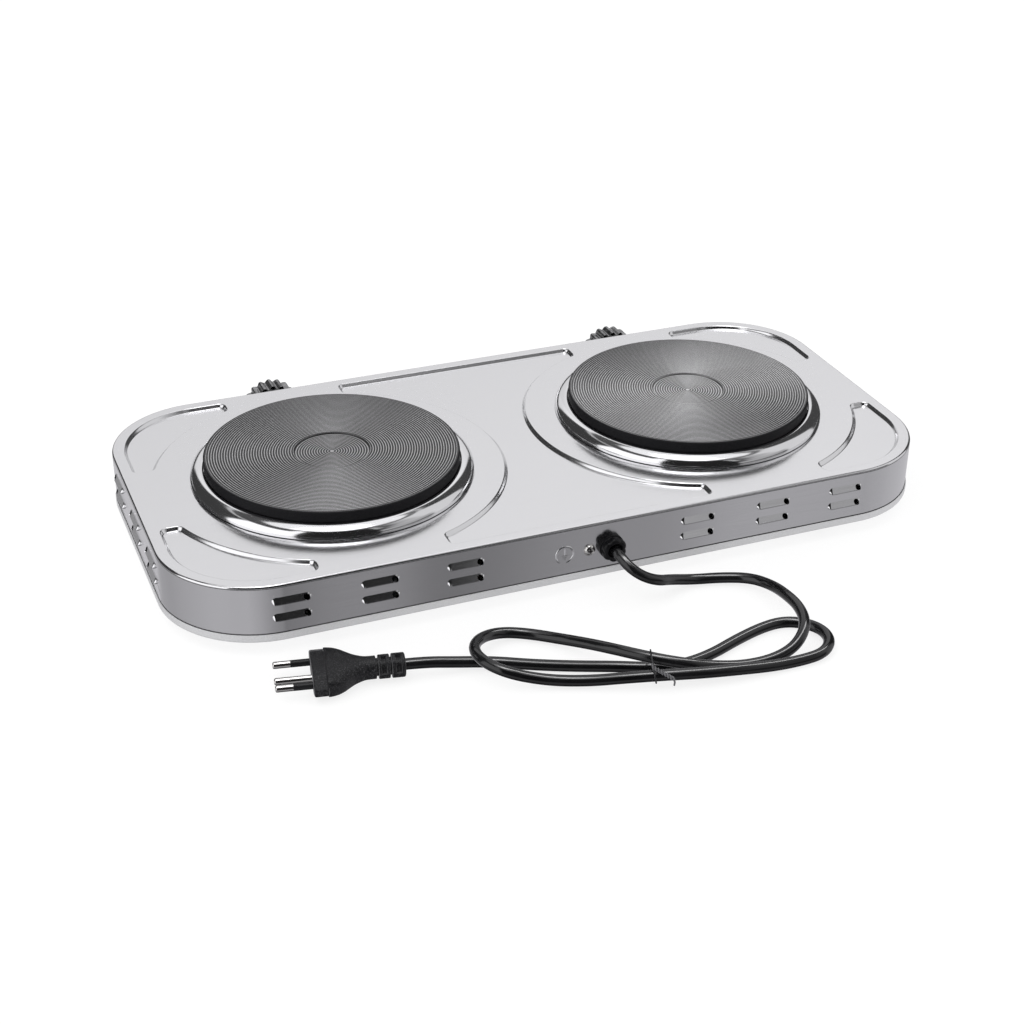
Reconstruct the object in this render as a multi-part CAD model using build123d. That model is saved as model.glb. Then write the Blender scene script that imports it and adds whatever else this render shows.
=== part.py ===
from build123d import *
import math
import os

# ---------------------------------------------------------------------------
# Two-plate electric table cooker (hot plate), free standing, mains cord at the
# rear.  Millimetres, +Z up, origin on the standing surface.
# Front (knobs) faces -Y, rear (cord) faces +Y, "left"/"right" as seen by a cook
# standing in front: left = -X, right = +X.
# ---------------------------------------------------------------------------

# --- housing -----------------------------------------------------------------
SHEET = 0.8            # stainless sheet thickness
SHELL_L = 453.0        # pressed shell, outer length (X)
SHELL_W = 222.4        # pressed shell, outer width (Y)
SHELL_R = 55.6         # plan corner radius
TOP_Z = 41.7           # upper face of the top sheet
EDGE_R = 3.0           # rolled edge between top and skirt
FOOT_H = 8.0           # feet lift the base tray by this much
TRAY_T = 0.8           # base tray sheet
LIP_T = 0.7            # upturned lip thickness of the tray
LIP_H = 4.8            # upturned lip height
# --- recessed panels of the top sheet ----------------------------------------
PAN_D = 1.6            # panel depth
PAN_INSET = 7.2        # distance of the outer panel edge from the housing side
CRES_ARC_R = 101.0     # inner arc of the corner panels, about the plate centre
MID_ARC_R = 98.5       # arcs of the middle panel, about the plate centres
CRES_TIP_X = 150.0     # corner panels stop here along X ...
CRES_TIP_Y = 33.5      # ... and here along Y
MID_TIP_X = 78.0
MID_HALF_W = 104.0
# --- plates -------------------------------------------------------------------
PLATE_X = 112.3        # plate centre offset from the middle
PLATE_Y = 1.2
PLATE_R = 72.5         # 145 mm cast-iron plate
PLATE_TOP = 54.3
RIM_BOT = 48.2         # underside of the plate's rim, on the trim ring
BODY_R = 70.5
BODY_BOT = 40.0
SKIRT_BOT = 34.0
DISH_R = 21.4          # shallow unheated centre
DISH_D = 1.0
RING_R = 80.7          # trim ring outer radius
HOLE_R = 74.5          # opening in the top sheet
COIL_RADII = (30.0, 44.0, 58.0)
# --- controls -------------------------------------------------------------------
KNOB_X = 116.0
KNOB_Z = 25.0
KNOB_R = 15.6
KNOB_SKIRT_R = 18.5
KNOB_BACK = 112.4      # distance of the knob's back from the housing centre line
KNOB_FRONT = 129.2
SHAFT_R = 3.0
RUN_GAP = 0.05         # radial running clearance of the control shaft
# --- rear fittings --------------------------------------------------------------
GLAND_X, GLAND_Z = -12.2, 25.5
GLAND_FRONT = 117.7
EARTH_X, EARTH_Z = 0.6, 25.6
LOUVRE_L, LOUVRE_H, LOUVRE_OUT = 21.0, 4.6, 1.7
LOUVRE_Z = (32.0, 22.3)
LOUVRE_REAR_X = (167.8, 120.0, 72.4, -65.0, -112.5, -159.2)
LOUVRE_END_Y = (-43.0, 1.5, 44.0)
# --- cord and plug ----------------------------------------------------------------
CORD_D = 6.0
PLUG_END = (121.6, 154.2, 7.7)     # where the cord enters the plug
PLUG_YAW = -11.0
PLUG_ROLL = -10.0
PIN_PITCH = 19.0
PIN_LEN = 19.0
PIN_R = 2.0
PIN_CORE_R = 1.4       # inside the insulating sleeves and the moulding

# the whole object is moved so that the box of the appliance is centred on Y
YC = (KNOB_FRONT - GLAND_FRONT) / 2

parts = {}


def cyl(r, z0, z1, x=0.0, y=0.0):
    return Pos(x, y, (z0 + z1) / 2) * Cylinder(r, z1 - z0)


def ring(r0, r1, z0, z1, x=0.0, y=0.0):
    return cyl(r1, z0, z1, x, y) - cyl(r0, z0 - 1, z1 + 1, x, y)


def ycyl(r, y0, y1, x=0.0, z=0.0):
    return Pos(x, (y0 + y1) / 2, z) * Rot(90, 0, 0) * Cylinder(r, y1 - y0)


def box(x0, x1, y0, y1, z0, z1):
    return Pos((x0 + x1) / 2, (y0 + y1) / 2, (z0 + z1) / 2) * Box(x1 - x0, y1 - y0, z1 - z0)


def hexz(af, z0, z1, x=0.0, y=0.0):
    return Pos(x, y, z0) * extrude(RegularPolygon(af / 2, 6, major_radius=False), z1 - z0)


def hexy(af, y0, y1, x=0.0, z=0.0, turn=0.0):
    return Pos(x, y1, z) * Rot(90, 0, 0) * extrude(RegularPolygon(af / 2, 6, major_radius=False, rotation=turn), y1 - y0)


def plan(dl=0.0):
    return RectangleRounded(SHELL_L - 2 * dl, SHELL_W - 2 * dl, SHELL_R - dl)


def prism(dl, z0, z1):
    return extrude(Pos(0, 0, z0) * plan(dl), z1 - z0)


def top_edges(s):
    return s.faces().sort_by(Axis.Z)[-1].edges()


def group(items):
    return Compound(list(items))


def sides():
    return (("left", -1), ("right", 1))


# ---------------------------------------------------------------------------
# pressed housing shell: top sheet, skirt, recessed panels, openings, louvres
# ---------------------------------------------------------------------------
SKIRT_Z0 = FOOT_H + TRAY_T
outer = fillet(top_edges(prism(0.0, SKIRT_Z0, TOP_Z)), EDGE_R)
inner = fillet(top_edges(prism(SHEET, SKIRT_Z0 - 1, TOP_Z - SHEET)), EDGE_R - SHEET)


def tip_vertices(sk, xs, ys):
    # the sharp tips of a panel, never the tangent points of its outline
    out = []
    for v in sk.vertices():
        for x in xs:
            if abs(abs(v.X) - x) < 0.05:
                out.append(v)
                break
        else:
            for y in ys:
                if abs(abs(v.Y) - y) < 0.05:
                    out.append(v)
                    break
    return out


def crescent(sx, sy, grow=0.0):
    # region outside the plate's arc, inside the inset outline, cut square at the tips
    outl = plan(PAN_INSET - grow)
    x0, y0 = CRES_TIP_X - grow, CRES_TIP_Y - grow
    w = Pos((x0 + 260) / 2, (y0 + 150) / 2) * Rectangle(260 - x0, 150 - y0)
    s = (outl & w) - Pos(PLATE_X, 0) * Circle(CRES_ARC_R - grow)
    s = fillet(tip_vertices(s, (x0,), (y0,)), 4.4 + grow)
    if sx < 0:
        s = mirror(s, Plane.YZ)
    if sy < 0:
        s = mirror(s, Plane.XZ)
    return s


def middle(grow=0.0):
    s = Rectangle(2 * (MID_TIP_X + grow), 2 * (MID_HALF_W + grow))
    for sx in (-1, 1):
        s = s - Pos(sx * PLATE_X, 0) * Circle(MID_ARC_R - grow)
    return fillet(tip_vertices(s, (MID_TIP_X + grow,), ()), 3.6 + grow)


def panel_tool(sk, depth, slope):
    # a shallow block hanging from the top face, with sloped sides
    z1 = TOP_Z
    b = extrude(Pos(0, 0, z1 - depth) * sk, depth)
    return chamfer(b.faces().sort_by(Axis.Z)[0].edges(), slope)


pads, cuts = [], []
for sx in (-1, 1):
    for sy in (-1, 1):
        pads.append(panel_tool(crescent(sx, sy, SHEET * 0.9), PAN_D + SHEET, PAN_D * 0.9))
        cuts.append(panel_tool(crescent(sx, sy), PAN_D, PAN_D * 0.9))
pads.append(panel_tool(middle(SHEET * 0.9), PAN_D + SHEET, PAN_D * 0.9))
cuts.append(panel_tool(middle(), PAN_D, PAN_D * 0.9))

shell = outer - inner
for p in pads:
    shell = shell + (p & prism(0.4, 0, TOP_Z - 0.2))
for c in cuts:
    shell = shell - c
for name, s in sides():
    shell = shell - cyl(HOLE_R, TOP_Z - 6, TOP_Z + 2, s * PLATE_X, PLATE_Y)

# ventilation louvres: hooded slots with an open end
hoods, vents = [], []


def louvre(loc):
    # local frame: X along the louvre, Y up, Z outwards from the skirt's outer face
    o = extrude(Pos(0, 0, -SHEET * 0.5) * SlotOverall(LOUVRE_L, LOUVRE_H), LOUVRE_OUT + SHEET * 0.5)
    o = chamfer(o.faces().sort_by(Axis.Z)[-1].edges(), 1.0)
    i = extrude(Pos(0, 0, -SHEET - 1) * SlotOverall(LOUVRE_L - 1.7, LOUVRE_H - 1.7), LOUVRE_OUT + 1 + SHEET - 0.8)
    m = Pos(-LOUVRE_L / 2 + 3.0, 0, 1.5) * Box(3.4, LOUVRE_H - 2.2, 4.0)
    hoods.append(loc * o)
    vents.append(loc * (i + m))


for x in LOUVRE_REAR_X:
    for z in LOUVRE_Z:
        louvre(Location(Plane(origin=(x, SHELL_W / 2, z), x_dir=(1, 0, 0), z_dir=(0, 1, 0))))
for y in LOUVRE_END_Y:
    for z in LOUVRE_Z:
        louvre(Location(Plane(origin=(SHELL_L / 2, y, z), x_dir=(0, 1, 0), z_dir=(1, 0, 0))))
        louvre(Location(Plane(origin=(-SHELL_L / 2, y, z), x_dir=(0, 1, 0), z_dir=(-1, 0, 0))))
for h in hoods:
    shell = shell + h
for v in vents:
    shell = shell - v

# openings for the gland, the earth screw, the control bushes and the pilot lamps
LAMP_X, LAMP_Z = 72.0, 25.0
shell = shell - ycyl(6.1, 105, 114, GLAND_X, GLAND_Z)
shell = shell - ycyl(1.6, 105, 114, EARTH_X, EARTH_Z)
for name, s in sides():
    shell = shell - ycyl(5.1, -114, -105, s * KNOB_X, KNOB_Z)
    shell = shell - ycyl(4.6, -114, -105, s * LAMP_X, LAMP_Z)
parts["housing_shell"] = shell

# ---------------------------------------------------------------------------
# base tray with its upturned lip, brackets, screws, feet
# ---------------------------------------------------------------------------
FEET = [(sx * 176.0, sy * 60.0) for sx in (-1, 1) for sy in (-1, 1)]
BRK = [(sx * 150.0, sy) for sx in (-1, 1) for sy in (-1, 1)]
BRK_Y = 102.5
tray = prism(-LIP_T, FOOT_H, FOOT_H + LIP_H) - prism(0.0, FOOT_H + TRAY_T, FOOT_H + LIP_H + 1)
for i in range(-3, 4):
    for sy in (-1, 1):
        tray = tray - Pos(i * 34.0, sy * 30.0, FOOT_H) * extrude(Pos(0, 0, -1) * SlotOverall(22, 4), 3)
for x, y in FEET:
    tray = tray - cyl(2.1, FOOT_H - 1, FOOT_H + 3, x, y)
for x, sy in BRK:
    tray = tray - cyl(1.8, FOOT_H - 1, FOOT_H + 3, x, sy * BRK_Y)
parts["base_tray"] = tray

inner_y = SHELL_W / 2 - SHEET
brackets, bscrews = [], []
for x, sy in BRK:
    ya, yb = sorted((sy * (inner_y - 1.5), sy * inner_y))
    yc, yd = sorted((sy * (inner_y - 12.5), sy * inner_y))
    b = box(x - 7, x + 7, ya, yb, SKIRT_Z0, 20) + box(x - 7, x + 7, yc, yd, SKIRT_Z0, SKIRT_Z0 + 1.5)
    b = b - cyl(1.6, SKIRT_Z0 - 1, SKIRT_Z0 + 3, x, sy * BRK_Y)
    brackets.append(b)
    sc = cyl(1.6, FOOT_H, 15.0, x, sy * BRK_Y) + cyl(3.2, FOOT_H - 2.0, FOOT_H, x, sy * BRK_Y)
    sc = sc - (box(x - 2, x + 2, sy * BRK_Y - 0.4, sy * BRK_Y + 0.4, FOOT_H - 2.5, FOOT_H - 1.0)
               + box(x - 0.4, x + 0.4, sy * BRK_Y - 2, sy * BRK_Y + 2, FOOT_H - 2.5, FOOT_H - 1.0))
    bscrews.append(sc)
parts["base_brackets"] = group(brackets)
parts["base_screws"] = group(bscrews)

feet, fscrews, fnuts = [], [], []
for x, y in FEET:
    f = Pos(x, y, FOOT_H / 2) * Cone(9.5, 11.0, FOOT_H)
    f = f - cyl(4.6, -1, 3.6, x, y) - cyl(2.0, 3, FOOT_H + 1, x, y)
    feet.append(f)
    s = cyl(2.0, 3.6, 15.5, x, y) + cyl(3.9, 1.6, 3.6, x, y)
    s = s - (box(x - 2.2, x + 2.2, y - 0.45, y + 0.45, 1, 2.6) + box(x - 0.45, x + 0.45, y - 2.2, y + 2.2, 1, 2.6))
    fscrews.append(s)
    fnuts.append(hexz(7.0, SKIRT_Z0, SKIRT_Z0 + 3.2, x, y) - cyl(2.0, 0, 20, x, y))
parts["rubber_feet"] = group(feet)
parts["foot_screws"] = group(fscrews)
parts["foot_nuts"] = group(fnuts)

# ---------------------------------------------------------------------------
# heating plates and everything that hangs below them
# ---------------------------------------------------------------------------
CHAN_W = 6.0
CHAN_TOP = 48.0
studs, clamp_nuts, tabs = [], [], []
for name, s in sides():
    x, y = s * PLATE_X, PLATE_Y

    # cast-iron plate: rim, body with three channels from below, skirt, centre boss
    with BuildSketch(Plane.XZ) as sk:
        with BuildLine():
            Polyline(
                (0, PLATE_TOP - DISH_D), (DISH_R - 1.0, PLATE_TOP - DISH_D), (DISH_R, PLATE_TOP),
                (PLATE_R - 1.0, PLATE_TOP), (PLATE_R, PLATE_TOP - 1.0), (PLATE_R, RIM_BOT),
                (BODY_R, RIM_BOT), (BODY_R, SKIRT_BOT), (BODY_R - 3.5, SKIRT_BOT),
                (BODY_R - 3.5, BODY_BOT), (10.0, BODY_BOT), (10.0, SKIRT_BOT), (0, SKIRT_BOT),
                close=True)
        make_face()
    plate = Pos(x, y, 0) * revolve(sk.sketch, Axis.Z, 360)
    for r in COIL_RADII:
        plate = plate - ring(r - CHAN_W / 2, r + CHAN_W / 2, BODY_BOT - 1, CHAN_TOP, x, y)
    plate = plate - cyl(3.0, SKIRT_BOT - 1, 46.0, x, y)
    parts[f"hot_plate_{name}"] = plate

    # pressed insulation in the channels, with the coil let into its upper face
    leads = [(x - 5.0, y + 29.6), (x + 5.0, y + 29.6)]
    ins, coil = [], []
    for r in COIL_RADII:
        c = ring(r - 1.6, r + 1.6, 45.5, 47.7, x, y)
        i = ring(r - CHAN_W / 2, r + CHAN_W / 2, 40.5, CHAN_TOP, x, y) - ring(r - 1.6, r + 1.6, 45.5, CHAN_TOP + 1, x, y)
        if r == COIL_RADII[0]:
            for lx, ly in leads:
                i = i - cyl(0.9, 40, 46, lx, ly)
                c = c + cyl(0.9, 33.2, 46.0, lx, ly)
        ins.append(i)
        coil.append(c)
    parts[f"coil_insulation_{name}"] = group(ins)
    parts[f"heating_coil_{name}"] = group(coil)

    # pressed cover under the plate
    cover = cyl(BODY_R, SKIRT_BOT - 0.8, SKIRT_BOT, x, y) - cyl(3.0, 30, 36, x, y)
    for lx, ly in leads:
        cover = cover - cyl(2.2, 30, 36, lx, ly)
    parts[f"plate_cover_{name}"] = cover

    # rolled stainless trim ring that carries the plate's rim
    with BuildSketch(Plane.XZ) as sk:
        with BuildLine():
            l1 = Polyline((BODY_R + 0.05, RIM_BOT), (BODY_R + 0.05, RIM_BOT - 0.8), (PLATE_R - 0.2, RIM_BOT - 0.8),
                          (PLATE_R + 0.6, TOP_Z), (RING_R, TOP_Z), (RING_R, TOP_Z + 0.7))
            l2 = ThreePointArc((RING_R, TOP_Z + 0.7), (78.6, 46.4), (74.0, 48.5))
            l3 = Polyline((74.0, 48.5), (PLATE_R + 0.05, 48.5), (PLATE_R + 0.05, RIM_BOT), (BODY_R + 0.05, RIM_BOT))
        make_face()
    trim = Pos(x, y, 0) * revolve(sk.sketch, Axis.Z, 360)
    parts[f"trim_ring_{name}"] = trim

    # stud, clamp bridge and nut that pull the plate down on its ring
    studs.append(cyl(3.0, 17.0, 46.0, x, y))
    bz = 24.0
    br = box(x - 80, x + 80, y - 10, y + 10, bz, bz + 2) - cyl(3.2, bz - 1, bz + 3, x, y)
    for sx in (-1, 1):
        xa, xb = sorted((x + sx * 78, x + sx * 80))
        br = br + box(xa, xb, y - 10, y + 10, bz, TOP_Z - SHEET)
        xa, xb = sorted((x + sx * 78, x + sx * 88))
        br = br + box(xa, xb, y - 10, y + 10, TOP_Z - SHEET - 2, TOP_Z - SHEET)
    parts[f"clamp_bridge_{name}"] = br
    clamp_nuts.append(hexz(10.0, bz - 5, bz, x, y) - cyl(3.0, 0, 40, x, y))

    # ceramic connection block under the cover, two brass tabs
    blk = box(x - 18, x + 18, y + 22, y + 36, 24.2, SKIRT_BOT - 0.8)
    for sx in (-1, 1):
        t = box(x + sx * 8 - 3.15, x + sx * 8 + 3.15, y + 32, y + 44, 28.0, 28.8)
        blk = blk - t
        tabs.append(t)
    parts[f"plate_terminal_{name}"] = blk
parts["plate_studs"] = group(studs)
parts["clamp_nuts"] = group(clamp_nuts)
parts["plate_terminal_tabs"] = group(tabs)

# ---------------------------------------------------------------------------
# energy regulators behind the front skirt, their shafts and knobs
# ---------------------------------------------------------------------------
FRONT_IN = -(SHELL_W / 2 - SHEET)
FRONT_OUT = -SHELL_W / 2
bush_nuts, blades = [], []
for name, s in sides():
    x, z = s * KNOB_X, KNOB_Z
    # mounting plate with two folded ears
    fr = box(x - 16, x + 16, FRONT_IN, FRONT_IN + 1.5, z - 13, z + 13)
    fr = fr + box(x - 16, x - 14.8, FRONT_IN, FRONT_IN + 16, z - 9, z + 9)
    fr = fr + box(x + 14.8, x + 16, FRONT_IN, FRONT_IN + 16, z - 9, z + 9)
    fr = fr - ycyl(5.0, FRONT_IN - 1, FRONT_IN + 3, x, z)
    parts[f"regulator_frame_{name}"] = fr
    # ceramic body with a pocket for the cam
    y0, y1 = FRONT_IN + 1.5, FRONT_IN + 25.5
    body = box(x - 14.8, x + 14.8, y0, y1, z - 11, z + 11)
    body = body - ycyl(8.2, y0 - 1, y0 + 4.2, x, z) - ycyl(6.6, y0 + 3, y0 + 15.5, x, z)
    for bx in (-7.0, 7.0):
        b = box(x + bx - 3.15, x + bx + 3.15, y1 - 6, y1 + 8, z - 5.4, z - 4.6)
        body = body - b
        blades.append(b)
    parts[f"regulator_body_{name}"] = body
    # brass bush through the frame and the skirt, with a collar inside
    bush = ycyl(5.0, -118.4, FRONT_IN + 1.5, x, z) + ycyl(8.0, FRONT_IN + 1.5, FRONT_IN + 4.0, x, z)
    bush = bush - ycyl(SHAFT_R + RUN_GAP, -120, -100, x, z)
    parts[f"control_bush_{name}"] = bush
    bush_nuts.append(hexy(14.0, FRONT_OUT - 3.0, FRONT_OUT, x, z) - ycyl(5.0, -120, -100, x, z))
    # shaft with a D flat at the front and a cam inside the body
    shaft = ycyl(SHAFT_R, -126.6, -94.5, x, z) + ycyl(5.6, -102.5, -98.5, x, z)
    shaft = shaft - box(x - 4, x + 4, -127, -119.0, z + 1.6, z + 4)
    shaft = shaft - box(x + 4.2, x + 6, -103, -98, z - 6, z + 6)
    parts[f"control_shaft_{name}"] = shaft
    # fluted knob: skirt, ribbed grip, cavity over the nut, D bore with a clip slot
    k = ycyl(KNOB_SKIRT_R, -KNOB_BACK - 3.6, -KNOB_BACK, x, z)
    grip = ycyl(KNOB_R - 1.0, -KNOB_FRONT, -KNOB_BACK - 3.0, x, z)
    ribs = []
    for i in range(18):
        a = math.radians(i * 20.0)
        ribs.append(ycyl(1.5, -KNOB_FRONT + 0.8, -KNOB_BACK - 3.0,
                         x + (KNOB_R - 1.4) * math.cos(a), z + (KNOB_R - 1.4) * math.sin(a)))
    for r in ribs:
        grip = grip + r
    k = k + grip
    k = k - ycyl(10.2, -119.0, -KNOB_BACK + 1, x, z)
    dbore = ycyl(SHAFT_R, -126.6, -118.0, x, z) - box(x - 4, x + 4, -127, -117, z + 2.2, z + 4)
    k = k - dbore
    k = k - box(x - 0.5, x + 0.5, -KNOB_FRONT - 1, -KNOB_FRONT + 0.5, z + 3, z + KNOB_R - 1.5)
    parts[f"knob_{name}"] = k
    # flat spring between the shaft's flat and the bore
    parts[f"knob_spring_{name}"] = box(x - 1.7, x + 1.7, -126.2, -119.2, z + 1.6, z + 2.2)
parts["bush_nuts"] = group(bush_nuts)
parts["regulator_blades"] = group(blades)

# pilot lamps beside the knobs
lenses, lamps = [], []
for name, s in sides():
    x, z = s * LAMP_X, LAMP_Z
    ln = ycyl(6.2, FRONT_OUT - 1.2, FRONT_OUT, x, z) + ycyl(4.6, FRONT_OUT, FRONT_OUT + 6, x, z)
    ln = ln + Pos(x, FRONT_OUT - 1.2, z) * Rot(90, 0, 0) * Cone(4.8, 3.6, 1.6, align=(Align.CENTER, Align.CENTER, Align.MIN))
    lenses.append(ln)
    lamps.append(ycyl(4.4, FRONT_OUT + 6, FRONT_OUT + 22, x, z))
parts["pilot_lenses"] = group(lenses)
parts["pilot_lamp_bodies"] = group(lamps)

# ---------------------------------------------------------------------------
# rear fittings: cable gland, sleeve, earth screw, mains block
# ---------------------------------------------------------------------------
RO = SHELL_W / 2
gx, gz = GLAND_X, GLAND_Z
g = ycyl(8.4, RO, RO + 2.2, gx, gz) + hexy(15.0, RO + 2.2, GLAND_FRONT, gx, gz, 30)
g = g + ycyl(6.1, 100.5, RO, gx, gz)
g = chamfer(g.faces().sort_by(Axis.Y)[-1].edges(), 1.0)
g = g - ycyl(4.3, 99, 120, gx, gz)
parts["cable_gland"] = g
parts["gland_nut"] = hexy(16.0, RO - SHEET - 4.5, RO - SHEET, gx, gz, 30) - ycyl(6.1, 99, 120, gx, gz)
parts["gland_sleeve"] = ycyl(4.3, 102.0, GLAND_FRONT, gx, gz) - ycyl(CORD_D / 2, 99, 120, gx, gz)
tail_sheath = ycyl(CORD_D / 2, 96.0, GLAND_FRONT, gx, gz)

ex, ez = EARTH_X, EARTH_Z
es = ycyl(1.6, 101.0, RO + 0.5, ex, ez) + ycyl(3.1, RO + 0.5, RO + 2.2, ex, ez)
es = chamfer(es.faces().sort_by(Axis.Y)[-1].edges(), 0.5)
es = es - (box(ex - 1.9, ex + 1.9, RO + 1.2, RO + 3, ez - 0.4, ez + 0.4) + box(ex - 0.4, ex + 0.4, RO + 1.2, RO + 3, ez - 1.9, ez + 1.9))
parts["earth_screw"] = es
parts["earth_washer"] = ycyl(3.5, RO, RO + 0.5, ex, ez) - ycyl(1.6, 100, 120, ex, ez)
et = ycyl(3.4, RO - SHEET - 0.8, RO - SHEET, ex, ez) - ycyl(1.6, 100, 120, ex, ez)
et = et + (box(ex - 1.6, ex + 1.6, RO - SHEET - 0.8, RO - SHEET, ez + 2.0, ez + 6.5) - ycyl(1.6, 100, 120, ex, ez))
parts["earth_terminal"] = et
parts["earth_nut"] = hexy(5.5, RO - SHEET - 3.3, RO - SHEET - 0.8, ex, ez) - ycyl(1.6, 100, 120, ex, ez)

MB = (-34.0, 10.0, 70.0, 88.0, SKIRT_Z0, 24.0)
mb = box(*MB)
mscrews = []
for i, mx in enumerate((-26.0, -12.0, 2.0)):
    mb = mb - cyl(2.5, 20.0, 30.0, mx, 79.0)
    sc = cyl(2.5, 20.0, 22.6, mx, 79.0) - box(mx - 2.5, mx + 2.5, 78.6, 79.4, 21.8, 24)
    mscrews.append(sc)
parts["mains_block"] = mb
parts["mains_block_screws"] = group(mscrews)


def tube(pts, d, fac=0.45, report=None):
    # straight runs joined by tangent arcs, each as large as its two runs allow
    v = [Vector(*p) for p in pts]
    radii = []
    for i in range(1, len(v) - 1):
        a, b = v[i] - v[i - 1], v[i + 1] - v[i]
        turn = math.radians(a.get_angle(b))
        radii.append(fac * min(a.length, b.length) / math.tan(turn / 2))
    path = FilletPolyline(*v, radius=radii)
    start = Plane(origin=v[0], z_dir=(v[1] - v[0]).normalized())
    prof = start * Circle(d / 2)
    t = sweep(prof, path=path)
    if report:
        print(report, "radii", [round(r, 1) for r in radii])
        print(report, "path length %.1f mm" % path.length, "volume %.1f" % t.volume,
              "section x length %.1f" % (math.pi * d * d / 4 * path.length))
    return t


# sheathed cable's three cores, from the end of the sheath to the mains block
cores = []
for dx, mx in ((-1.9, -26.0), (0.0, -12.0), (1.9, 2.0)):
    z0 = gz + (1.2 if dx == 0 else -0.9)
    cores.append(tube([(gx + dx, 96.0, z0), (gx + dx, 93.4, z0), (mx, 90.6, 16.0), (mx, 88.0, 16.0)], 1.8))
parts["cable_tail"] = group([tail_sheath] + cores)

# internal wiring on the floor of the tray
W = 2.4
WZ = SKIRT_Z0 + W / 2 + 0.6
y_tab = PLATE_Y + 44.0
live, neutral, switched = [], [], []
for name, s in sides():
    lx = -24.0 if s < 0 else 0.0
    nx = -31.0 if s < 0 else 7.0
    bx = s * (KNOB_X - 7.0)
    yb = FRONT_IN + 33.5
    live.append(tube([(lx, 70.0, 13.0), (lx, 66.0, 13.0), (s * 36.0, 22.0, WZ + 0.2), (s * 40.0, -30.0, WZ),
                      (s * 92.0, -58.0, WZ), (bx, -66.0, 18.5), (bx, yb + 4.0, 20.0), (bx, yb, 20.0)], W))
    tx = s * (PLATE_X - 8.0)
    neutral.append(tube([(nx, 70.0, 15.0), (nx, 66.0, 15.0), (s * 56.0, 58.0, 16.0), (s * 92.0, 57.0, 24.0),
                         (tx, y_tab + 4.0, 28.4), (tx, y_tab, 28.4)], W))
    qx = s * (KNOB_X + 7.0)
    ux = s * (PLATE_X + 8.0)
    switched.append(tube([(qx, yb, 20.0), (qx, yb + 4.0, 20.0), (qx + s * 8.0, -64.0, 14.5), (s * 168.0, -40.0, WZ),
                          (s * 170.0, 38.0, WZ + 0.2), (s * 140.0, 58.0, 20.0), (ux, y_tab + 4.0, 28.4), (ux, y_tab, 28.4)], W))
parts["live_wires"] = group(live)
parts["neutral_wires"] = group(neutral)
parts["switched_wires"] = group(switched)
parts["earth_wire"] = tube([(6.0, 88.0, 19.0), (6.0, 91.0, 19.0), (9.5, 97.0, 29.0), (5.0, 103.0, 35.5), (ex, 108.0, 36.8),
                            (ex, 110.0, 35.0), (ex, 110.0, 32.1)], 0.76)

# ---------------------------------------------------------------------------
# mains cord, gathered in two loops behind the appliance, and its plug
# ---------------------------------------------------------------------------
yaw = math.radians(PLUG_YAW)
e1 = (math.cos(yaw), math.sin(yaw))
CORD_ROUTE = [
    (GLAND_X, GLAND_FRONT, GLAND_Z), (GLAND_X, 123.3, 25.5), (-14.0, 128.2, 22.0), (-19.4, 128.6, 15.8),
    (-28.9, 125.2, 9.2), (-40.5, 123.9, 4.8), (-55.7, 126.1, 3.0), (-73.1, 131.1, 3.1), (-88.2, 139.2, 3.4),
    (-93.1, 153.7, 5.5), (-90.4, 172.1, 10.5), (-88.7, 184.6, 12.0), (-84.9, 197.7, 12.0),
    (-78.4, 205.2, 10.0), (-70.6, 208.1, 6.5), (-57.6, 209.5, 3.5), (-42.5, 208.9, 3.4),
    (-27.3, 208.9, 7.5), (-13.8, 210.2, 12.2), (-2.0, 204.9, 13.2), (9.5, 196.1, 13.2),
    (19.0, 186.3, 12.0), (26.4, 171.6, 8.0), (35.5, 156.2, 4.0), (49.1, 145.0, 3.0), (62.3, 141.1, 4.5),
    (73.8, 146.3, 9.0), (82.2, 154.6, 12.2), (86.5, 163.0, 12.6), (84.7, 171.0, 10.5), (77.8, 175.1, 6.8),
    (68.5, 179.3, 4.0), (54.1, 187.1, 3.1), (36.8, 195.6, 3.1), (20.7, 202.9, 4.3), (3.6, 208.4, 4.8),
    (-14.5, 212.4, 3.6), (-35.7, 216.4, 3.0), (-57.4, 218.4, 3.1), (-75.3, 217.6, 3.1), (-88.7, 213.9, 3.0),
    (-97.7, 205.8, 3.1), (-98.2, 196.1, 3.0), (-92.3, 188.4, 3.0), (-83.8, 184.2, 3.1), (-70.0, 182.9, 3.0),
    (-51.1, 186.9, 3.1), (-31.5, 192.9, 3.0), (-13.6, 196.2, 3.8), (3.0, 195.2, 4.8), (20.1, 189.5, 4.0),
    (38.6, 180.6, 3.1), (59.4, 170.9, 3.1), (77.9, 162.6, 3.3), (98.6, 158.4, 5.6),
    (PLUG_END[0] - 11.0 * e1[0], PLUG_END[1] - 11.0 * e1[1], PLUG_END[2]), PLUG_END,
]
parts["power_cord"] = tube(CORD_ROUTE, CORD_D, report="power_cord")

plug_loc = Pos(*PLUG_END) * Rot(0, 0, PLUG_YAW) * Rot(PLUG_ROLL, 0, 0)


def xcyl(r, x0, x1, y=0.0, z=0.0):
    return Pos((x0 + x1) / 2, y, z) * Rot(0, 90, 0) * Cylinder(r, x1 - x0)


def section(x, a, b):
    return Plane(origin=(x, 0, 0), x_dir=(0, 1, 0), z_dir=(1, 0, 0)) * Ellipse(a, b)


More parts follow.
